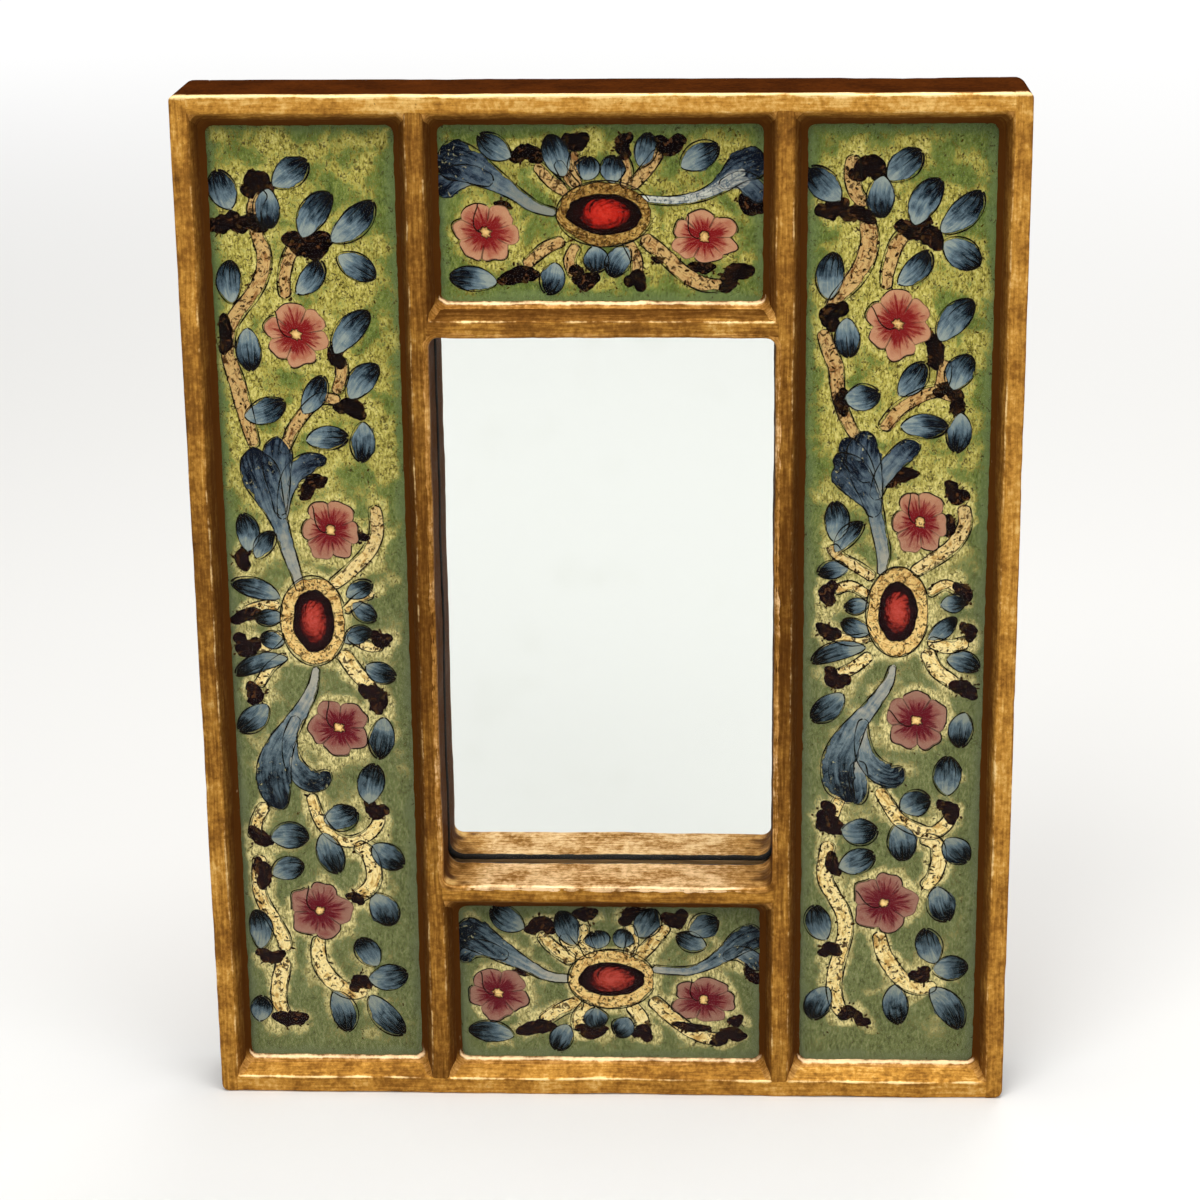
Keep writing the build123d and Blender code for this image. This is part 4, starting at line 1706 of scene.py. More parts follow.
        # Dark veins fan out towards each leaf's tip.
        for number, line in enumerate(drawn[: len(self.leaves)]):
            across = across_line(line[:, :2])
            for vein, side in enumerate((-0.5, 0.05, 0.55)):
                start = 11 + (number * 5 + vein * 3) % 4
                half = line[start:21, 2:3] * 0.5
                path = line[start:21, :2] + across[start:21] * half * side
                made.append(np.column_stack([path, np.linspace(0.15, 0.6, len(path))]))
        for number, f in enumerate(self.flowers):
            sector = 2 * pi / f.petals
            for petal in range(f.petals):
                if (petal * 3 + number) % 5:
                    first = f.turn + petal * sector + 0.1
                    slip = 0.25 * sin(petal * 2.3 + number)
                    arc = [
                        (*f.place(angle, f.rim(angle, number)[0] + 0.01), 0.34)
                        for angle in np.linspace(first, first + sector * 0.85, 14)
                    ]
                    made.append(np.array(arc) + (slip, -slip, 0))
            start = 2.3 + 0.5 * sin(number * 1.9 + f.x)
            curl = [
                (*f.place(start + 1.3 * t * t, (1 - t) ** 0.8 * 0.82 + 0.16), 0.38)
                for t in np.linspace(0, 1, 14)
            ]
            made.append(np.array(curl))
        m, turns = self.medallion, np.linspace(0.4, 6.0, 60)
        x, z = (m.ring[0] + 0.35) * np.cos(turns), (m.ring[1] + 0.35) * np.sin(turns)
        return made + [np.stack([m.x + x, m.z + z, 0.34 + 0.1 * np.sin(turns * 5)], axis=-1)]

    def build(self, paints: dict[str, Finish]) -> None:
        """Builds the foil, every layer of paint and the pane over them.

        Args:
            paints: The finishes by name.
        """
        stems, trumpets, chalk = map(self.blunt_lines, (self.stems, self.trumpets, self.chalk))
        leaves = self.dab_lines(self.leaves, 1.08, 0.54)
        buds = self.dab_lines(self.blot_buds(), 1.0, 0.5)
        self.build_foil(paints["ground"])
        # Each layer: its strokes, how far it lies behind the pane, its paint, how far its sides
        # wander and its points across. The backmost comes first.
        for kind, lines, lift, paint, waver, columns in (
            ("stems", stems, 0.15, "stem", 0.2, 9),
            ("buds", buds, 0.135, "bud", 0.3, 7),
            ("flecks", self.fleck_lines(), 0.125, "fleck", 0.4, 3),
            ("trumpets", trumpets, 0.11, "trumpet", 0.2, 9),
            ("chalk", chalk, 0.103, "chalk", 0.35, 9),
            ("leaves", leaves, 0.095, "leaf", 0.12, 9),
        ):
            if lines:
                self.build_strokes(kind, lines, lift, paints[paint], waver, columns)
        self.build_medallion(paints)
        self.build_flowers(paints["petal"], paints["heart"])
        pen = self.pen_lines(leaves + stems + trumpets)
        self.build_strokes("pen_lines", pen, 0.02, paints["ink"], 0.3, 3)
        self.build_pane(paints["glass"])


def slab_draft(span: Span, front: float, back: float, arris: float) -> Draft:
    """Drafts a flat plate of glass with ground edges.

    Args:
        span: Left, right, bottom and top.
        front: Depth of its front face.
        back: Depth of its back face.
        arris: How much of each edge is ground off.

    Returns:
        The draft. Its last face is the back one, and the four before the front one edge it.
    """
    x0, x1, z0, z1 = span
    rows = []
    for inset, depth in ((arris, front), (0.0, front + arris), (0.0, back - arris), (arris, back)):
        inner = (x0 + inset, x1 - inset, z0 + inset, z1 - inset)
        rows += [(x, depth, z) for x, z, _ in cornered(inner, 0.0)]
    draft = Draft()
    draft.add_grid(rows, 4, closed=True, caps=True)
    return draft


@dataclass
class MirrorPlate:
    """The mirror: clear glass with silver on its back, bedded behind the lining."""

    layout: Layout
    arris: float = 0.35
    air: float = 0.06

    def build(self, glass: Finish, silver: Finish) -> None:
        """Builds the plate.

        Args:
            glass: Its glass.
            silver: Its silvering.
        """
        low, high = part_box("mirror_plate")
        span = (low.x / MM, high.x / MM, low.z / MM, high.z / MM)
        front, back = self.layout.mirror + self.air, self.layout.mirror_back - self.air
        draft = slab_draft(span, front, back, self.arris)
        # The back face and its ground edge are silvered.
        for face in (*range(8, 12), -1):
            draft.finishes[face] = 1
        plate = draft.make(
            "silvered_mirror_plate", [glass, silver], "mirror_glass", replaces="mirror_plate",
            smooth=False,
        )
        plate.visible_shadow = False


# ---------------------------------------------------------------- hanger


@dataclass
class Hanger:
    """The hanging ring of round wire and its slotted screw."""

    layout: Layout
    wire: float = 2.0
    inner_wide: float = 14.0
    inner_deep: float = 11.5
    corner: float = 2.0
    lean: float = 8.0
    knuckle: float = 1.85
    head_wide: float = 6.0
    head_tall: float = 1.9
    slot_wide: float = 0.9
    slot_deep: float = 0.85
    slot_turn: float = 20.0

    def ring_line(self) -> np.ndarray:
        """Draws the middle of the ring's wire, flat.

        Returns:
            Its points, as across and down from the pivot.
        """
        half = (self.inner_wide + self.wire) / 2
        arch = half - self.wire / 2 - self.inner_deep
        inner = half - self.corner
        quarter = np.linspace(pi / 2, 0, 8)[1:]
        bend = self.corner
        right = [(inner + bend * cos(a), bend * (sin(a) - 1)) for a in quarter]
        right += [(half, v) for v in np.linspace(-self.corner, arch, 5)[1:]]
        sweep = np.linspace(0, pi, 40)[1:-1]
        bow = [(half * cos(a), arch - half * sin(a)) for a in sweep]
        bar = [(x, 0.0) for x in np.linspace(-inner, inner, 12)]
        return np.array(bar + right + bow + [(-x, v) for x, v in reversed(right)])

    def build_ring(self, finish: Finish) -> None:
        """Builds the ring as a round wire bent to a D.

        Args:
            finish: The wire's steel.
        """
        pivot_y = self.layout.back + self.knuckle
        pivot_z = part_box("hanger_strap")[1].z / MM - self.knuckle
        tilt = radians(self.lean)
        line = self.ring_line()
        ahead = np.roll(line, -1, axis=0) - np.roll(line, 1, axis=0)
        ahead /= np.linalg.norm(ahead, axis=1, keepdims=True)
        round_wire = np.linspace(0, 2 * pi, 16, endpoint=False)
        rows = []
        for (x, down), (hx, hd) in zip([*line, line[0]], [*ahead, ahead[0]]):
            for angle in round_wire:
                side, lift = cos(angle) * self.wire / 2, sin(angle) * self.wire / 2
                px, pd = x + hd * side, down - hx * side
                y = pivot_y - pd * sin(tilt) + lift * cos(tilt)
                rows.append((px, y, pivot_z + pd * cos(tilt) + lift * sin(tilt)))
        draft = Draft()
        draft.add_grid(rows, len(round_wire), closed=True)
        draft.make("wire_hanger_ring", [finish], "ring_steel", "ring", "hanger_ring")

    def build_screw(self, finish: Finish) -> None:
        """Builds the round-headed screw with its driver slot and thread.

        Args:
            finish: The screw's brass.
        """
        low, high = (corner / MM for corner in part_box("hanger_screw"))
        top, centre_z, length = high.y, (low.z + high.z) / 2, high.y - low.y
        half, tall = self.head_wide / 2, self.head_tall
        dome = np.linspace(0.12, pi / 2, 12)
        profile = [(0.02, 0.0)]
        profile += [(half * sin(a), tall * 0.82 * (1 - cos(a))) for a in dome]
        profile += [(half, tall - 0.12), (half - 0.12, tall), (1.45, tall)]
        # Four points to each turn of the thread: two on its crest and two in its root.
        crests = np.arange(tall + 0.4, length - 2.4, 0.2625)
        profile += [(1.45 if number % 4 < 2 else 1.05, drop) for number, drop in enumerate(crests)]
        profile += [(0.9, length - 1.5), (0.04, length)]
        angles = np.linspace(0, 2 * pi, 48, endpoint=False)
        rows = [
            (radius * cos(a), top - drop, centre_z + radius * sin(a))
            for radius, drop in profile
            for a in angles
        ]
        draft = Draft()
        draft.add_grid(rows, len(angles), closed=True, caps=True)
        name = "slotted_hanger_screw"
        screw = draft.make(name, [finish], "screw_brass", replaces="hanger_screw")
        self.cut_slot(screw, Vector((0.0, top, centre_z)))

    def cut_slot(self, screw: Piece, place: Vector) -> None:
        """Cuts the driver slot into the screw's head.

        Args:
            screw: The screw.
            place: The middle of its head's top.
        """
        mesh = bpy.data.meshes.new("slot_cutter")
        shape = bmesh.new()
        bmesh.ops.create_cube(shape, size=1.0)
        sizes = Vector((self.head_wide + 1, self.slot_deep * 2, self.slot_wide))
        turn = Quaternion((0, 1, 0), -radians(self.slot_turn))
        for vertex in shape.verts:
            vertex.co = (turn @ (vertex.co * sizes) + place) * MM
        shape.to_mesh(mesh)
        shape.free()
        cutter = bpy.data.objects.new("slot_cutter", mesh)
        bpy.context.scene.collection.objects.link(cutter)
        cut = screw.modifiers.new("slot", "BOOLEAN")
        cut.operation, cut.object, cut.solver = "DIFFERENCE", cutter, "EXACT"
        bpy.context.view_layer.update()
        shown = screw.evaluated_get(bpy.context.evaluated_depsgraph_get())
        carved = bpy.data.meshes.new_from_object(shown)
        screw.modifiers.clear()
        screw.data = carved
        bpy.data.objects.remove(cutter)
        log.info("%s: slot cut, %d points", screw.name, len(carved.vertices))


# Each panel's motifs, read from the front, in millimetres.
LEFT_PANEL = Panel(
    "left",
    leaves=[
        (-105, 275, -108.5, 286, 8), (-93, 282, -83, 289, 8), (-94, 281, -94, 269.5, 7.5),
        (-85, 267, -76.5, 279.5, 8), (-77, 266, -65, 277.5, 8), (-75, 261.5, -64.5, 255, 7.5),
        (-106, 248, -106, 260.5, 7), (-87.5, 250.5, -80.5, 260, 6.5), (-77, 233, -66.5, 245, 7.5),
        (-102, 240.5, -101.5, 228, 7), (-87, 215, -81, 226, 6.5), (-73, 219.5, -64.5, 229.5, 7.5),
        (-104, 214, -92.5, 218.5, 7.5), (-86.5, 207, -74.5, 208, 7),
        (-69.5, 212.5, -70.5, 200.5, 7), (-105, 173, -106, 184.5, 6.5),
        (-102.5, 171, -97, 179, 5.5), (-96, 158.5, -110, 163, 6), (-95.5, 153, -103.5, 152, 5),
        (-95.5, 145, -102.5, 146.5, 5.5), (-94.5, 139.5, -110, 134.5, 5.5),
        (-101.5, 125, -110.3, 117, 7.5), (-76.5, 159, -69, 163, 5.5),
        (-74.5, 157, -67.5, 152.5, 5.5), (-77.5, 144.5, -69.5, 148, 5.5),
        (-71.5, 137.5, -63, 134, 6.5), (-66.2, 121, -68.5, 108, 7.5), (-72, 93, -69.5, 105.5, 8),
        (-86, 88, -76, 91, 8.5), (-102, 81.5, -90.5, 81.5, 8.5), (-86.2, 83.5, -82, 70.5, 8),
        (-71.5, 79.5, -62.5, 73, 8), (-102, 69.5, -92.3, 72.2, 7.5), (-107, 45, -108, 58, 7),
        (-72, 63, -66.4, 52.8, 8.5), (-71, 39.5, -76, 48.8, 7.5), (-74, 35, -62.3, 37.2, 8.5),
        (-85.2, 30.5, -81.4, 17, 8), (-73.5, 29.5, -63.5, 16.5, 8), (-108.5, 20, -107, 28.5, 6.5),
    ],
    buds=[
        (-101, 282.5, -93.5, 283.5, 8), (-110.5, 269, -103, 272, 6.5),
        (-104, 271.5, -95.5, 270.5, 5.5), (-89, 264.5, -77.5, 264, 8.5),
        (-107.5, 243, -108, 233.5, 5.5), (-76.5, 236, -76.5, 229, 5), (-76.5, 218, -69, 216, 6),
        (-107, 174, -107, 167.5, 5.5), (-88.5, 191, -82, 196, 5), (-73.5, 178.5, -69.5, 176.5, 3),
        (-110, 153, -102, 154.5, 5.5), (-110, 144, -103.5, 142, 7), (-105, 131.5, -103.5, 125.5, 6),
        (-69.5, 145.5, -63.8, 145, 5.5), (-71, 131, -66.5, 123.5, 6.5), (-108.5, 83.5, -103, 79, 6),
        (-105, 74, -104.5, 65.5, 5.5), (-73, 92.5, -67.5, 89, 5.5), (-79, 63.5, -74.5, 61.5, 4.5),
        (-107.3, 42, -100, 42.3, 5), (-79.5, 33, -74, 35, 6), (-103, 20.5, -94, 20.5, 6.5),
    ],
    stems=[
        [(-96, 281, 4), (-98.5, 276, 4), (-98.5, 270, 3.5), (-96.5, 263, 4), (-97, 257, 4),
        (-100, 251, 4), (-104.5, 245.5, 4), (-107.5, 240, 4), (-108, 233, 4), (-106, 225, 4.5),
        (-104.5, 218, 4.5), (-103, 211, 4), (-101.5, 205, 3)], [(-86, 266, 3.5), (-89, 261, 3.5),
        (-90.5, 255, 3.5), (-90.5, 249, 3)], [(-93.5, 203, 3), (-90, 210.5, 3.5), (-86, 216, 3.5),
        (-81.5, 219.5, 3.5), (-76, 219, 3)], [(-75.5, 232, 3.5), (-75.5, 226, 3.5),
        (-77.5, 221, 3)], [(-80.5, 162, 3.5), (-74, 167.5, 4), (-69, 173, 4), (-66.5, 179, 4),
        (-67, 187, 3.5)], [(-95, 141, 2.5), (-100, 137, 3), (-104, 131, 3)], [(-96, 147.5, 2.5),
        (-101, 143.5, 3.5), (-106, 144.5, 3.5)], [(-96, 156.5, 2.5), (-101, 156, 3.5),
        (-107, 154, 3.5)], [(-78.5, 142, 4.5), (-74.5, 135.5, 4.5), (-70.5, 130.5, 4),
        (-68.5, 126.5, 3.5)], [(-76.5, 147, 3), (-71, 143.5, 3), (-66, 143.5, 3)],
        [(-77, 154.5, 2.5), (-72, 159, 3), (-68, 160.5, 3)], [(-89.5, 96, 3), (-88, 90, 3.5),
        (-85.5, 84.5, 3.5), (-80, 80.5, 3.5), (-74.5, 81.5, 3.5), (-70, 85.5, 3.5), (-69, 90, 3.5)],
        [(-77, 80, 4), (-73, 77, 4.5), (-71.3, 70, 4.5), (-73, 65.5, 4.5), (-77.5, 62, 4)],
        [(-103, 93, 3.5), (-106, 87, 3.5), (-107, 81, 4)], [(-106, 76, 4), (-106.6, 66, 4),
        (-105.5, 60.5, 4), (-102.3, 54, 4.2), (-99.8, 48.3, 4.2), (-99.3, 44, 4)], [(-100, 42, 4.2),
        (-101, 37, 4.8), (-102.2, 31, 4.8), (-101.8, 26, 4.2), (-99.5, 21.5, 3)], [(-88.5, 49, 3.5),
        (-89, 42.6, 4.5), (-87.3, 37, 5), (-83, 32, 5), (-78.7, 30, 4.5), (-74.4, 31, 3.5)],
    ],
    trumpets=[
        [(-90, 161, 2), (-91, 166, 3), (-93.5, 175, 4), (-95.5, 183, 5), (-98, 190, 8),
        (-100, 196, 11), (-101.5, 201, 9), (-102, 205, 3)], [(-95, 184, 3), (-95, 191, 5.5),
        (-95.5, 198, 8), (-95, 204, 8), (-94.5, 208, 3)], [(-94, 183, 2.5), (-93, 190, 4),
        (-90.5, 196.5, 5.5), (-86, 200, 6), (-80.5, 201.5, 2.5)], [(-86.2, 137, 1.8),
        (-87.5, 131, 3), (-90, 125.5, 4), (-94, 119, 5.5), (-98, 112, 8), (-100.3, 105, 10),
        (-100.3, 98, 9.5), (-98.7, 91, 4)], [(-93, 121, 2.5), (-95.3, 113.5, 4), (-94.5, 106, 5.5),
        (-91, 101, 7), (-87, 100.3, 6.5), (-83.5, 103.3, 2.5)],
    ],
    flowers=[
        Flower(-88, 238.5, 9.3, 9.6, 6, 0.2), Flower(-80.3, 179.5, 8.6, 9.8, 6, 0.5),
        Flower(-80.1, 117.6, 9, 9.2, 5, 0.1), Flower(-88.2, 57.7, 9.6, 9.2, 5, 0.7),
    ],
    medallion=Medallion(-86.4, 151.4, (9.6, 13.8), (6.2, 9.7), (3.9, 6.8)),
)

RIGHT_PANEL = Panel(
    "right",
    leaves=[
        (67.3, 277.3, 58.9, 286.5, 8), (80.3, 283.5, 89.6, 291.3, 8),
        (79.6, 284.2, 79.4, 272.3, 7.5), (88.3, 270.3, 95.5, 283, 8), (95.5, 268.5, 106.6, 280, 8),
        (96.8, 265.3, 107, 258.5, 8.5), (64.5, 249, 66, 262.5, 7.8),
        (83.7, 253.2, 92.3, 262.4, 6.8), (96.2, 236.7, 105.6, 248.2, 8),
        (69.6, 243.4, 70.3, 232, 7), (84.7, 220.5, 91.8, 230, 7.2), (100.4, 222.3, 105.4, 232.3, 8),
        (69.3, 219.6, 79, 221.3, 7.8), (85.3, 211.4, 98.5, 211, 7.2),
        (102.8, 215.4, 101.6, 203.7, 7), (66.7, 176.5, 66.7, 188.5, 7),
        (67.2, 173.4, 75, 182.4, 5.5), (71, 168, 62.5, 166.5, 5.5), (77, 157.5, 70.3, 156, 5),
        (77.6, 148.6, 69.3, 151.8, 5.5), (76.6, 143.6, 61, 139.2, 5.8),
        (69.8, 129.4, 60.7, 121.3, 7.5), (98, 157, 105, 157.5, 5.5), (94.7, 146.4, 102.7, 153.4, 5),
        (100.3, 140, 109.6, 137, 6.5), (106, 123.4, 104.9, 112.5, 7),
        (101.7, 97, 101.7, 109.4, 8.2), (87.6, 92.1, 96.3, 95.3, 8.5), (70, 85.9, 80.6, 85.9, 8.5),
        (86.6, 87.3, 88.6, 75.4, 8.5), (101.4, 82.9, 108, 75.8, 8.2), (69.4, 73.2, 79.6, 77.8, 8),
        (66.2, 49.2, 62.7, 60.5, 7.8), (66.8, 33.5, 62.3, 22.8, 8), (99, 41.5, 95.9, 53, 8),
        (98.6, 39.6, 109.2, 40.8, 8), (87.4, 34.4, 88.6, 21.2, 7.6), (97.6, 33.2, 106.8, 19.8, 8.2),
        (99.4, 67.3, 102.9, 56.1, 8.4),
    ],
    buds=[
        (71, 286.5, 80, 287, 7.5), (62, 273, 69.5, 275.5, 7), (69, 274.5, 77, 272.3, 5),
        (84.2, 268.5, 92.5, 269.5, 6.5), (90.5, 269.5, 96.5, 265, 7), (66.5, 247.5, 64, 240.5, 7),
        (93.5, 239, 96.5, 229.5, 5.5), (67.5, 221.5, 68.3, 214.8, 5), (95.8, 223, 101.5, 221.5, 5),
        (101, 221, 101, 214.5, 5.5), (81.5, 195.5, 90, 198, 5), (98.8, 193, 104.5, 189, 5.5),
        (100.5, 184, 101, 178.5, 4), (64.8, 163.5, 64.8, 157.2, 6), (103.5, 163.5, 106.5, 158, 4.5),
        (62.3, 149.5, 68, 146.3, 5.5), (106, 151.3, 107.8, 146.3, 4.5),
        (64.8, 135.5, 70.5, 131.5, 6), (103, 133, 109.5, 129.5, 6), (63.5, 92, 69, 84.2, 7.5),
        (100.5, 95, 104.5, 89, 5.5), (66, 77, 68.3, 70.8, 5.5), (64.5, 46.5, 70.3, 46, 5.5),
        (92.3, 36.5, 97.6, 38, 6), (70.5, 25, 75.5, 25.5, 5), (75, 24, 79, 20.8, 3.5),
    ],
    stems=[
        [(71, 290, 3.5), (70.5, 285, 4.5), (71.5, 279.5, 4), (74.5, 275.5, 3.5)], [(74.5, 272, 4.5),
        (75.6, 266.5, 5), (74.2, 260, 5.2), (71.4, 255, 5), (66.7, 249.5, 4), (64.5, 245, 3.5)],
        [(87.5, 269.5, 3.5), (84.3, 266, 4), (82.2, 261, 4), (81, 255.6, 3.5), (81, 251.5, 3)],
        [(62.6, 240, 3.5), (64.6, 234, 4.2), (66.6, 229, 4.2), (67, 224, 4), (67.8, 219, 3.5),
        (70, 213, 3.5), (73, 208, 3)], [(97.5, 231, 3.5), (97.2, 226, 3.8), (96, 222, 3)],
        [(80.3, 210, 3.5), (84.3, 215.5, 3.8), (89.6, 219.3, 3.8), (95.8, 221.6, 3.5),
        (101.5, 219.5, 3)], [(89.5, 167, 3.5), (96, 171.5, 4.2), (101.5, 176, 4.2), (104.5, 182, 4),
        (104, 188, 3.5)], [(78.5, 165, 3), (73.5, 168.5, 3.2), (68.5, 171.5, 3), (65.5, 175, 3.5)],
        [(77.5, 160, 2.5), (72, 163, 3), (67, 161.5, 3)], [(77.5, 147, 3), (72, 146, 3.2),
        (66.5, 147.5, 3)], [(78, 141.5, 3), (73, 137.5, 3.5), (67.5, 134.5, 3.5)],
        [(94.5, 160.5, 2.5), (99.5, 163.5, 3), (104, 161.5, 3)], [(94.5, 145.6, 3),
        (100.5, 143.8, 4), (106.5, 145.5, 3.5)], [(94, 143.5, 4), (96.8, 137.5, 4.2),
        (101.5, 133.5, 4), (105.5, 131, 3.5)], [(70.5, 97.5, 3.2), (68.2, 92, 3.8), (66, 86, 4)],
        [(80.8, 99, 3.5), (83.8, 94, 3.8), (87, 89, 4), (92, 86, 4), (97, 84.6, 4), (101, 87.2, 4),
        (103.3, 91.5, 3.5)], [(66.3, 82, 4), (65.2, 76, 4.2), (65.2, 69.7, 4.4), (67.9, 64, 4.4),
        (70.6, 59, 4.5), (71.6, 53, 4.5), (70.4, 46, 4.2), (68.8, 39.5, 4.5), (68.3, 33, 4.6),
        (69.7, 27, 4.2), (73, 23.3, 3)], [(94, 82.6, 3.5), (98.7, 81, 4.2), (99.7, 75.5, 4.4),
        (98.2, 70, 4.2), (95, 66.3, 3.5)], [(81.6, 52.4, 3.8), (83.1, 45.8, 4.4), (86.4, 39.8, 4.8),
        (90.6, 35, 4.6), (95, 33.4, 4), (99.5, 34.8, 3)],
    ],
    trumpets=[
        [(80.3, 166, 1.8), (81, 172.5, 3.8), (79.4, 180.5, 4.2), (78, 187, 5), (74.5, 192.5, 8.5),
        (71, 197, 10.5), (67.8, 200.5, 7), (66, 201, 3)], [(78.6, 184, 3), (77.6, 191, 6.5),
        (76, 197.5, 9), (75, 204, 9), (76, 210, 4)], [(77, 195, 4), (73.5, 200.5, 7),
        (70.5, 205.5, 6), (69.5, 208, 2.5)], [(78, 189, 3), (80.5, 196, 5), (84, 201, 6),
        (88, 204.5, 6), (91, 206, 2.5)], [(84.8, 138.5, 1.8), (83.5, 133, 3), (79.8, 127, 4),
        (75.2, 120.8, 5.5), (71.4, 114.2, 8.5), (69, 107.5, 9.5), (69.5, 101, 9), (71.8, 97, 5),
        (73, 94.5, 3)], [(76, 121, 2.5), (75.8, 114.5, 4.5), (77.3, 108.5, 6), (81, 104.3, 7),
        (85.2, 103, 7), (88.2, 105.5, 3)], [(74.5, 108, 4), (74.8, 102, 5.5), (75.2, 97, 4.5),
        (74, 94, 2.5)],
    ],
    flowers=[
        Flower(84.2, 241.5, 9.3, 10.4, 6, 0.1), Flower(91.6, 182.3, 8.2, 10, 6, 0.5),
        Flower(91.8, 120.8, 9, 9.8, 5, 0.9), Flower(83.2, 61.7, 9.8, 9.6, 5, 0.7),
    ],
    medallion=Medallion(85.6, 154.8, (9, 13.7), (5.8, 9.2), (3.8, 6.5)),
)

TOP_PANEL = Panel(
    "top",
    leaves=[
        (-25.3, 289.7, -34, 295.8, 7), (-10.3, 284.5, -14.6, 296.3, 7.5),
        (-4.6, 283.3, -3.3, 289.8, 7), (3.6, 282.4, 4.4, 290, 7), (10.8, 287.3, 13, 296.8, 6),
        (22.7, 286.8, 33.2, 292.7, 7.8), (-2.5, 264.5, -1.6, 257, 7), (7.6, 263.6, 2.7, 255.3, 7),
        (-13, 259.6, -15.7, 250.7, 7), (-30, 253.8, -43.3, 255.7, 7),
    ],
    buds=[
        (-24.5, 291.3, -16.5, 290.8, 5.5), (-9.8, 293, -3.5, 294, 6.5), (5.3, 290.5, 7.3, 296.5, 5),
        (15.5, 293, 23.3, 293, 6), (-28.5, 255.7, -19, 257.5, 6), (-8.5, 255.5, -1.5, 253.8, 6),
        (7.5, 255.5, 12.5, 254, 6), (25.5, 257.6, 31.8, 257.6, 3.8), (34, 253.8, 41.8, 258.5, 6),
        (14.3, 260.5, 17, 259.5, 2.2), (-29.5, 277.2, -25.3, 275.8, 2.4),
        (39.5, 279.5, 44, 273.5, 6),
    ],
    stems=[
        [(-18.5, 287.7, 3), (-14.4, 283, 3.5), (-9.5, 279.3, 3)], [(-12, 289, 2.5), (-9, 284, 3),
        (-6, 280.5, 3)], [(-7, 291.5, 2.5), (-7.8, 286, 3), (-6.5, 281, 3)], [(5.8, 291, 2.5),
        (7.3, 286, 3), (6.5, 281, 3)], [(17, 291.5, 3), (13, 286, 3.5), (8.5, 281, 3)],
        [(-10.5, 266, 3), (-16, 263.5, 3.5), (-22, 258.5, 3)], [(-7, 265, 3), (-9.3, 260.5, 3.2),
        (-8, 255.5, 3)], [(7.5, 265.5, 3), (10, 260.5, 3.2), (10.2, 255.5, 3)], [(11.5, 267.3, 4),
        (17.3, 262.2, 4.2), (23.6, 256.3, 4.2), (29.3, 253.4, 4), (35, 253.2, 3)],
    ],
    trumpets=[
        [(-12.8, 273.8, 2.2), (-18.9, 275.6, 3.2), (-25.3, 280, 4.2), (-32, 284.3, 7),
        (-38.5, 288, 10.5), (-46.3, 290, 12)], [(-30, 282.8, 3), (-36, 284.6, 5.5),
        (-41.5, 283.5, 7), (-46.3, 279.5, 7)], [(9.8, 278.3, 2), (19.3, 277.5, 2.4),
        (27.5, 278.8, 3), (33.8, 282, 4.5), (39.3, 286.8, 8), (46.3, 289.5, 10)], [(33, 281.3, 2.2),
        (38.5, 283, 4.5), (42.5, 281, 6), (46.3, 277, 5)],
    ],
    flowers=[
        Flower(-32.8, 268.3, 9.5, 8.9, 6, 0.4), Flower(29.1, 266.8, 9.7, 7.9, 6, 0.1),
    ],
    chalk=[
        [(9.9, 278.3, 1.6), (19.3, 277.5, 2.0), (27.5, 278.7, 2.5), (33.5, 281.5, 3.0),
        (37.5, 284.3, 3.4), (40.5, 286.0, 1.5)], [(28.5, 278.9, 1.2), (34.5, 281.3, 2.2),
        (39.5, 282.6, 3.0), (42.0, 282.8, 1.2)],
    ],
    medallion=Medallion(1, 273.6, (13.4, 9.2), (10.7, 5.9), (6.9, 4.4)),
)

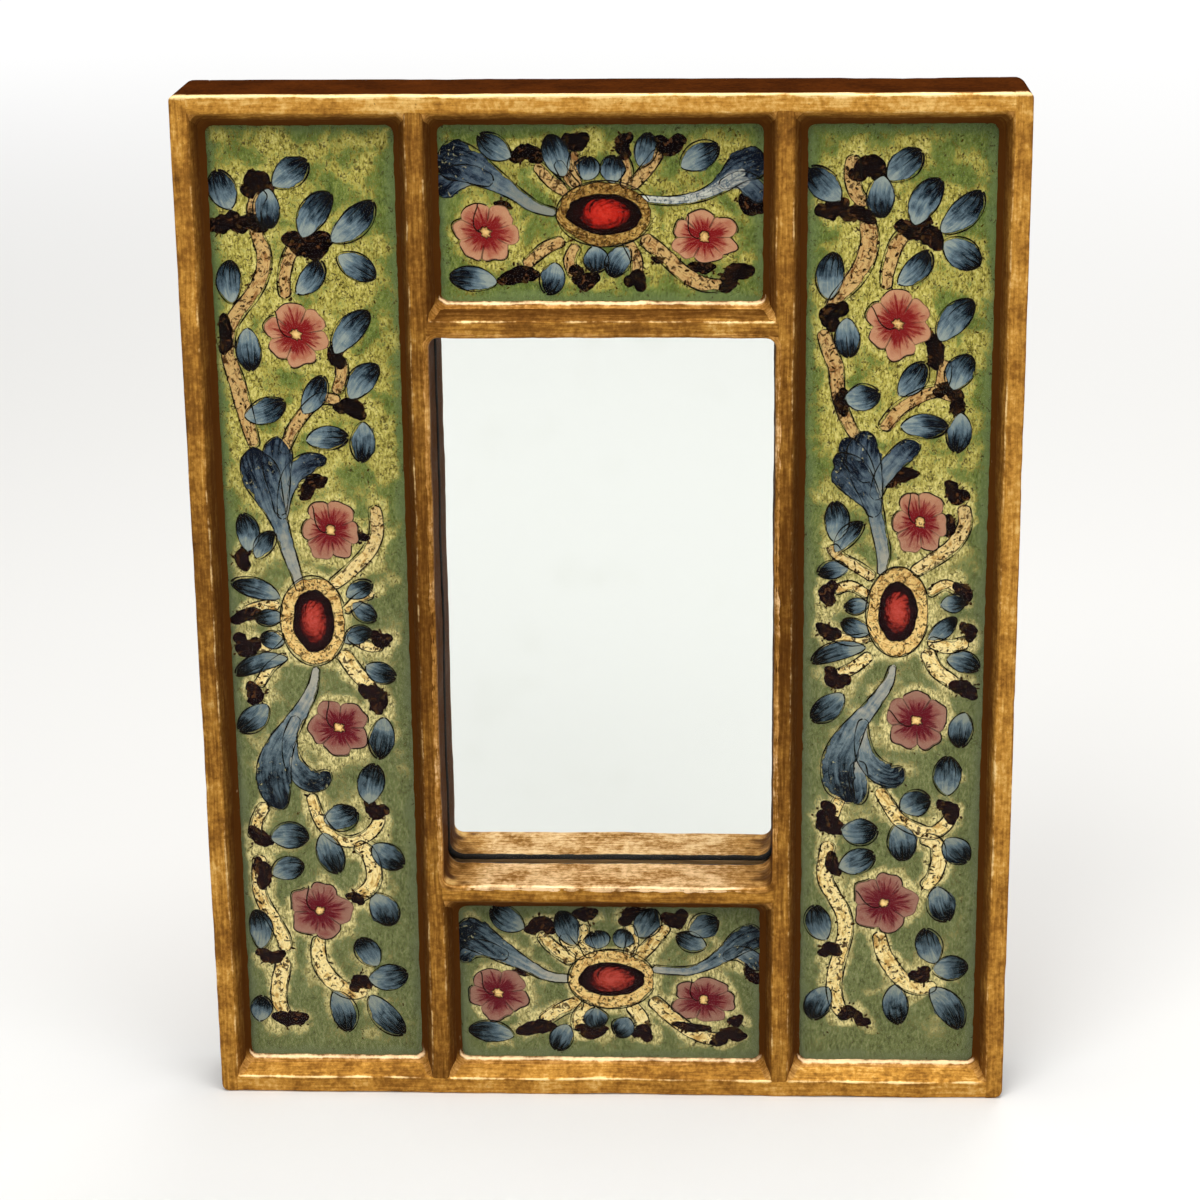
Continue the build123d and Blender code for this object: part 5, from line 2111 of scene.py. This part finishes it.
BOTTOM_PANEL = Panel(
    "bottom",
    leaves=[
        (-26, 52.2, -35.6, 58.7, 8), (-10.6, 47, -15, 58.3, 7.5), (-3.5, 45.6, -4.4, 51.2, 8),
        (3.8, 46, 5.8, 51.6, 6.5), (8.3, 50, 13.2, 59.3, 8), (24.5, 51.2, 33.2, 55.5, 8),
        (29.5, 47, 20.8, 50.8, 6.5), (-4.6, 25.6, -3.4, 18.9, 7.5), (5.8, 22.6, 1.8, 16.8, 7),
        (-13, 20, -16.7, 11.4, 7), (-30, 15.8, -43.8, 17.7, 7),
    ],
    buds=[
        (-24.7, 53.3, -16.8, 53.8, 6), (-10, 56.3, -3.8, 57, 5.5), (3.8, 56.7, 10.8, 57.7, 6),
        (16.8, 55, 23.5, 55.5, 6), (-27.5, 18.8, -17.8, 20.5, 6), (-9.3, 17.3, -1.3, 17.8, 4.5),
        (7.5, 18.5, 12.8, 17.5, 6), (20.5, 19.5, 30, 18.5, 3.8), (32, 15.8, 41, 17.5, 5),
        (36.8, 20.8, 40.8, 21.8, 4), (-29, 38.5, -25.5, 37, 2.4), (41.5, 40, 46, 34.5, 4.5),
    ],
    stems=[
        [(-21, 51, 3), (-17, 46.3, 4), (-10.5, 41.5, 4)], [(-14.5, 50, 3), (-11.5, 45.5, 3.5),
        (-7.5, 42.5, 3.5)], [(-8, 54, 3), (-7.8, 48.5, 3.8), (-5.5, 43, 3.8)], [(6, 54, 3),
        (7.3, 48.5, 3.5), (6, 43, 3.5)], [(18, 53.5, 3), (12.8, 47.5, 4), (8, 42, 4)],
        [(-8.5, 28.3, 4), (-15, 25.5, 4.2), (-21.5, 20.8, 4)], [(-5.5, 27.5, 4), (-9.5, 22, 4.2),
        (-9, 17.5, 4)], [(6, 27.5, 4), (9.5, 22.5, 4.2), (10.3, 17.5, 4)], [(12.3, 29, 4.2),
        (17.5, 24, 4.4), (23.8, 18.6, 4.2), (29.5, 15.8, 4), (36, 15.4, 3.5)],
    ],
    trumpets=[
        [(-11.4, 35.4, 2.6), (-18.9, 36.4, 3.2), (-25.3, 40, 4.2), (-33, 44.6, 7), (-39.5, 49, 9.5),
        (-46.3, 52.5, 11)], [(-31, 43, 3), (-37, 45.3, 5), (-42, 45.5, 6), (-46.3, 42, 6)],
        [(12.8, 38.8, 2.4), (22.9, 38.2, 2.6), (29.3, 40.2, 3.2), (35.6, 44.5, 5.5),
        (40.2, 48.5, 8), (46.3, 51, 9)], [(35, 43.5, 2.5), (39.5, 44.8, 4.5), (43.5, 43, 5.5),
        (46.3, 39.5, 5)],
    ],
    flowers=[
        Flower(-34.3, 30.4, 9.4, 9, 5, 0.2), Flower(28.8, 28.6, 10, 7.9, 5, 0.6),
    ],
    medallion=Medallion(0.6, 35.5, (13.2, 9.7), (10.2, 5.7), (6.8, 4.3)),
)


# ---------------------------------------------------------------- studio


@dataclass
class Studio:
    """The pale floor, the lamps, the sky behind and the camera."""

    eye: Triple = (0.0404, -0.9114, 0.4727)
    aim: Triple = (-0.00125, -0.0125, 0.1610)
    roll_degrees: float = -0.675
    lens: float = 98.1
    floor_colour: str = "#E9E8E5"

    def hang(
        self, name: str, data: bpy.types.ID, place: Vector, aim: Vector, roll: float = 0.0
    ) -> bpy.types.Object:
        """Places a camera or a lamp so that it points at something.

        Args:
            name: Its name.
            data: The camera or lamp.
            place: Where it stands, in metres.
            aim: What it points at, in metres.
            roll: Its turn about that line, in degrees.

        Returns:
            Its holder.
        """
        holder = bpy.data.objects.new(name, data)
        bpy.context.scene.collection.objects.link(holder)
        spin = Quaternion((0, 0, 1), radians(roll))
        holder.location, holder.rotation_mode = place, "QUATERNION"
        holder.rotation_quaternion = (aim - place).to_track_quat("-Z", "Y") @ spin
        return holder

    def build_camera(self) -> None:
        """Places the camera."""
        data = bpy.data.cameras.new("camera")
        data.lens, data.sensor_width, data.sensor_height = self.lens, 36.0, 36.0
        data.clip_start, data.clip_end = 0.01, 50.0
        eye, aim = Vector(self.eye), Vector(self.aim)
        bpy.context.scene.camera = self.hang("camera", data, eye, aim, self.roll_degrees)

    def build_floor(self) -> None:
        """Lays the floor: pale card near the mirror, fading to plain white far from it."""
        material, add = open_material("matt_card_floor")
        far = add("VectorMath", {0: places_in_mm(add)}, "Value", operation="LENGTH")
        fade = add("MapRange", {"Value": far, "From Min": 700.0, "From Max": 2200.0}, **SOFT)
        card = add("Mix", {0: fade, FROM: self.floor_colour, TO: "#000000"}, **COLOURS)
        surface = {"Base Color": card, "Roughness": 0.85, "Specular IOR Level": 0.1}
        glow = {"Emission Color": "#FFFFFF", "Emission Strength": fade}
        mesh, far = bpy.data.meshes.new("floor"), 6.0
        corners = [(-far, -far, 0), (far, -far, 0), (far, far, 0), (-far, far, 0)]
        mesh.from_pydata(corners, [], [(0, 1, 2, 3)])
        mesh.materials.append(close_material(material, surface | glow))
        floor = bpy.data.objects.new("floor", mesh)
        bpy.context.scene.collection.objects.link(floor)

    def build_lamps(self) -> None:
        """Hangs the soft lamps round the mirror."""
        for name, place, size, power in (
            ("key_lamp", (-0.6, -1.3, 1.8), 1.0, 18.5),
            ("fill_lamp", (1.3, -1.3, 1.0), 1.2, 6.5),
            ("top_lamp", (0.1, -0.25, 1.6), 0.8, 12.0),
            ("back_lamp", (0.5, 1.8, 1.4), 1.4, 16.0),
        ):
            lamp = bpy.data.lights.new(name, "AREA")
            lamp.shape, lamp.size, lamp.energy = "SQUARE", size, power
            self.hang(name, lamp, Vector(place), Vector((0, 0, 0.15)))

    def build_sky(self) -> None:
        """Sets the world: a soft fill, and plain white where the camera, metal or glass sees it."""
        world = bpy.data.worlds.new("studio")
        bpy.context.scene.world = world
        world.use_nodes = True
        world.node_tree.nodes.clear()
        add = partial(add_node, world.node_tree)
        seen = add("LightPath", output="Is Camera Ray")
        for ray in ("Is Glossy Ray", "Is Transmission Ray"):
            seen = add("Math", {0: seen, 1: add("LightPath", output=ray)}, operation="MAXIMUM")
        strength = add("MapRange", {"Value": seen, "To Min": 0.39, "To Max": 1.0})
        glow = add("Background", {"Color": "#FFFFFF", "Strength": strength})
        add("OutputWorld", {"Surface": glow})

    def build(self) -> None:
        """Builds the camera and the whole stage."""
        self.build_camera()
        self.build_floor()
        self.build_lamps()
        self.build_sky()
        bpy.context.scene.view_settings.view_transform = "Standard"
        log.info("studio built")


def mix_paints() -> dict[str, Finish]:
    """Builds what the panels are painted with.

    Returns:
        The finishes by name.
    """
    acanthus = (
        ("#7C7C72", "#5F6B72", "#3A4654", "#10141E"), ("#A29C8E", "#68747A", "#404D56", "#14171D")
    )
    chalk = ("#CCCABE", "#B6B3A8", "#98968E", "#62666A")
    paints = (
        BrushPaint(
            "steel_blue_leaf_paint",
            ("#8B928C", "#5E6E78", "#2C3943", "#0D0F16"),
            ("#888C82", "#586770", "#2C363C", "#0E1013"),
            places=(0.05, 0.36, 0.66, 0.86), streaks=1.0, blots=1.0, blot_mm=4.0,
        ),
        BrushPaint(
            "steel_blue_acanthus_paint", *acanthus, places=(0.1, 0.46, 0.72, 0.92), streak_mm=1.0,
            streak_stretch=10.0, streaks=1.0, specks=0.25, speck_colour="#B4A878", speck_mm=1.4,
            speck_far=0.1,
        ),
        BrushPaint(
            "chalk_white_dry_paint", chalk, chalk, run_down=0.5, outline_mm=0.0, specks=0.8,
            speck_colour="#4C5A66", speck_mm=1.0,
        ),
        # Its lower-half colours are much paler: a painted reflection of the pale floor in the
        # gilded stems.
        BrushPaint(
            "ochre_stem_paint",
            ("#8A5E34", "#B8905A", "#C6A268", "#6A4020"),
            ("#B98E4E", "#E2C27C", "#F4DDA0", "#C09A58"),
            run_down=0.0, streaks=1.4, blots=1.9, places=(0.15, 0.4, 0.62, 0.95), specks=0.75,
            speck_colour="#3A2210", speck_mm=1.7,
        ),
        BrushPaint(
            "burnt_umber_bud_paint",
            ("#100809", "#080405", "#120907", "#30190C"),
            ("#241318", "#100A0C", "#201010", "#3C2416"),
            run_down=0.0, specks=0.45, speck_colour="#55341C", speck_mm=1.8, outline_mm=0.0,
        ),
        BrushPaint(
            "burnt_umber_fleck_paint",
            ("#2A1810", "#1C100A", "#3A2412", "#5A3A1C"),
            ("#2E1C14", "#20140E", "#3E2A18", "#5E4224"),
            run_down=0.0, outline_mm=0.1, ink="#463214",
        ),
        PetalPaint(),
        BrushPaint(
            "cream_heart_paint",
            ("#DDB878", "#CDA264", "#B08048", "#6A3A20"),
            ("#F0D08C", "#E6BE78", "#C8965A", "#7A4A2C"),
            outline_mm=0.3, specks=0.5, speck_mm=1.0, streaks=0.8,
        ),
        BrushPaint(
            "gold_ring_paint",
            ("#C8A45C", "#A67E3E", "#7E5828", "#4A2E14"),
            ("#ECCB86", "#EBC680", "#D9AC66", "#B48446"),
            run_down=0.1, blots=2.2, blot_mm=1.5, specks=0.85, speck_colour="#3E280E",
            outline_mm=0.25, metallic=0.2,
        ),
        BrushPaint(
            "oxblood_oval_paint",
            ("#2A0C0A", "#260C0A", "#1C0908", "#0E0605"),
            ("#34181A", "#2C1214", "#241012", "#140A0A"),
        ),
        BrushPaint(
            "ruby_jewel_glaze",
            ("#BE2C1E", "#A81E14", "#7C1610", "#240606"),
            ("#B04438", "#983228", "#74221C", "#2A0C0C"),
            places=(0.2, 0.55, 0.8, 1.0), outline_mm=0.0, streak_mm=1.2, streak_stretch=3.0,
            blots=1.3, blot_mm=1.3, specks=0.35, speck_colour="#5A0E0C", speck_mm=0.9,
        ),
        BrushPaint(
            "lamp_black_line",
            ("#17120C", "#120F0B", "#120F0B", "#1C150E"),
            ("#1E1710", "#17130E", "#17130E", "#241B12"),
        ),
    )
    names = "leaf trumpet chalk stem bud fleck petal heart ring oval jewel ink".split()
    made = {name: paint.build() for name, paint in zip(names, paints, strict=True)}
    return made | {"ground": SpeckledGround().build(), "glass": PlainGlass().build()}


def dress_nodes(finishes: dict[str, Finish]) -> None:
    """Gives each CAD node that stays in view its own finish.

    Args:
        finishes: The finish for each node's name.
    """
    for name, material in finishes.items():
        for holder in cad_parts[name].material_slots:
            holder.material = material
        log.info("%s: dressed in %s", name, material.name)


def finish_back() -> None:
    """Dresses the boards, fixings, paper, cover and strap that the CAD nodes show."""
    upright = SawnBoard("sawn_cedar_upright", Run.UPRIGHT).build()
    level = SawnBoard("sawn_cedar_level", Run.LEVEL).build()
    cover = MottledSheet("oiled_hardboard", "#7A5634", "#5E3F24", 0.9, 0.62, relief_mm=0.08)
    wire = MottledSheet("drawn_steel_wire", "#A9A6A0", "#6F5A48", 0.5, 0.38, 1.0, 0.02, 6.0)
    brass = MottledSheet("rolled_brass", "#C9A04E", "#9A7432", 0.4, 0.3, 1.0, 0.02, 9.0)
    nails = MottledSheet("nail_heads_under_bole", "#2E1606", "#221004", 0.8, 0.8)
    dress_nodes(
        {
            "top_board": level,
            "bottom_board": level,
            "left_board": upright,
            "right_board": upright,
            "board_dowels": SawnBoard("turned_birch", Run.LEVEL, "#D8B98A", "#C09A68").build(),
            "corner_nails": nails.build(),
            "cover_brads": wire.build(),
            "mirror_paper": MottledSheet("kraft_paper", "#A8835A", "#8C6A44", 0.7, 0.8).build(),
            "back_cover": cover.build(),
            "hanger_strap": brass.build(),
        }
    )


def main() -> None:
    """Builds the studio, the gilded frame, the panels, the mirror and the back."""
    logging.basicConfig(level=logging.INFO, format="%(name)s: %(message)s")
    plan = Layout.read()
    Studio().build()

    gilding = GildedWood().build()
    gesso = GildedWood(
        "bronze_gilding_on_gesso", gold="#C08C48", rubbed_and_lit="#F8D4A4", streak_mm=0.9
    ).build()
    # A very dark finish for the rebate's rim, standing in for the shadow in the gap at the mirror:
    # painted shadow.
    rebate = MottledSheet("painted_rebate_shadow", "#0A0705", "#120C08", 0.9, 0.8).build()
    frame_work = GiltFrame(plan)
    for bar in frame_work.outer_bars() + frame_work.inner_bars():
        bar.build(gilding)
    frame_work.build_lining(gesso, rebate)

    paints = mix_paints()
    for panel in (LEFT_PANEL, RIGHT_PANEL, TOP_PANEL, BOTTOM_PANEL):
        panel.set_in(plan)
        panel.build(paints)
        frame_work.build_bead(panel, gesso)

    mirror_glass = PlainGlass("mirror_glass", shine="#606060").build()
    MirrorPlate(plan).build(mirror_glass, Silvering().build())

    hanger = Hanger(plan)
    steel = MottledSheet("bright_steel_wire", "#B8B6B0", "#8F8B84", 0.6, 0.28, 1.0, 0.02)
    brass = MottledSheet("turned_brass", "#C9A04E", "#9A7432", 0.4, 0.3, 1.0, 0.02, 9.0)
    hanger.build_ring(steel.build())
    hanger.build_screw(brass.build())
    finish_back()


if __name__ == "__main__":
    main()
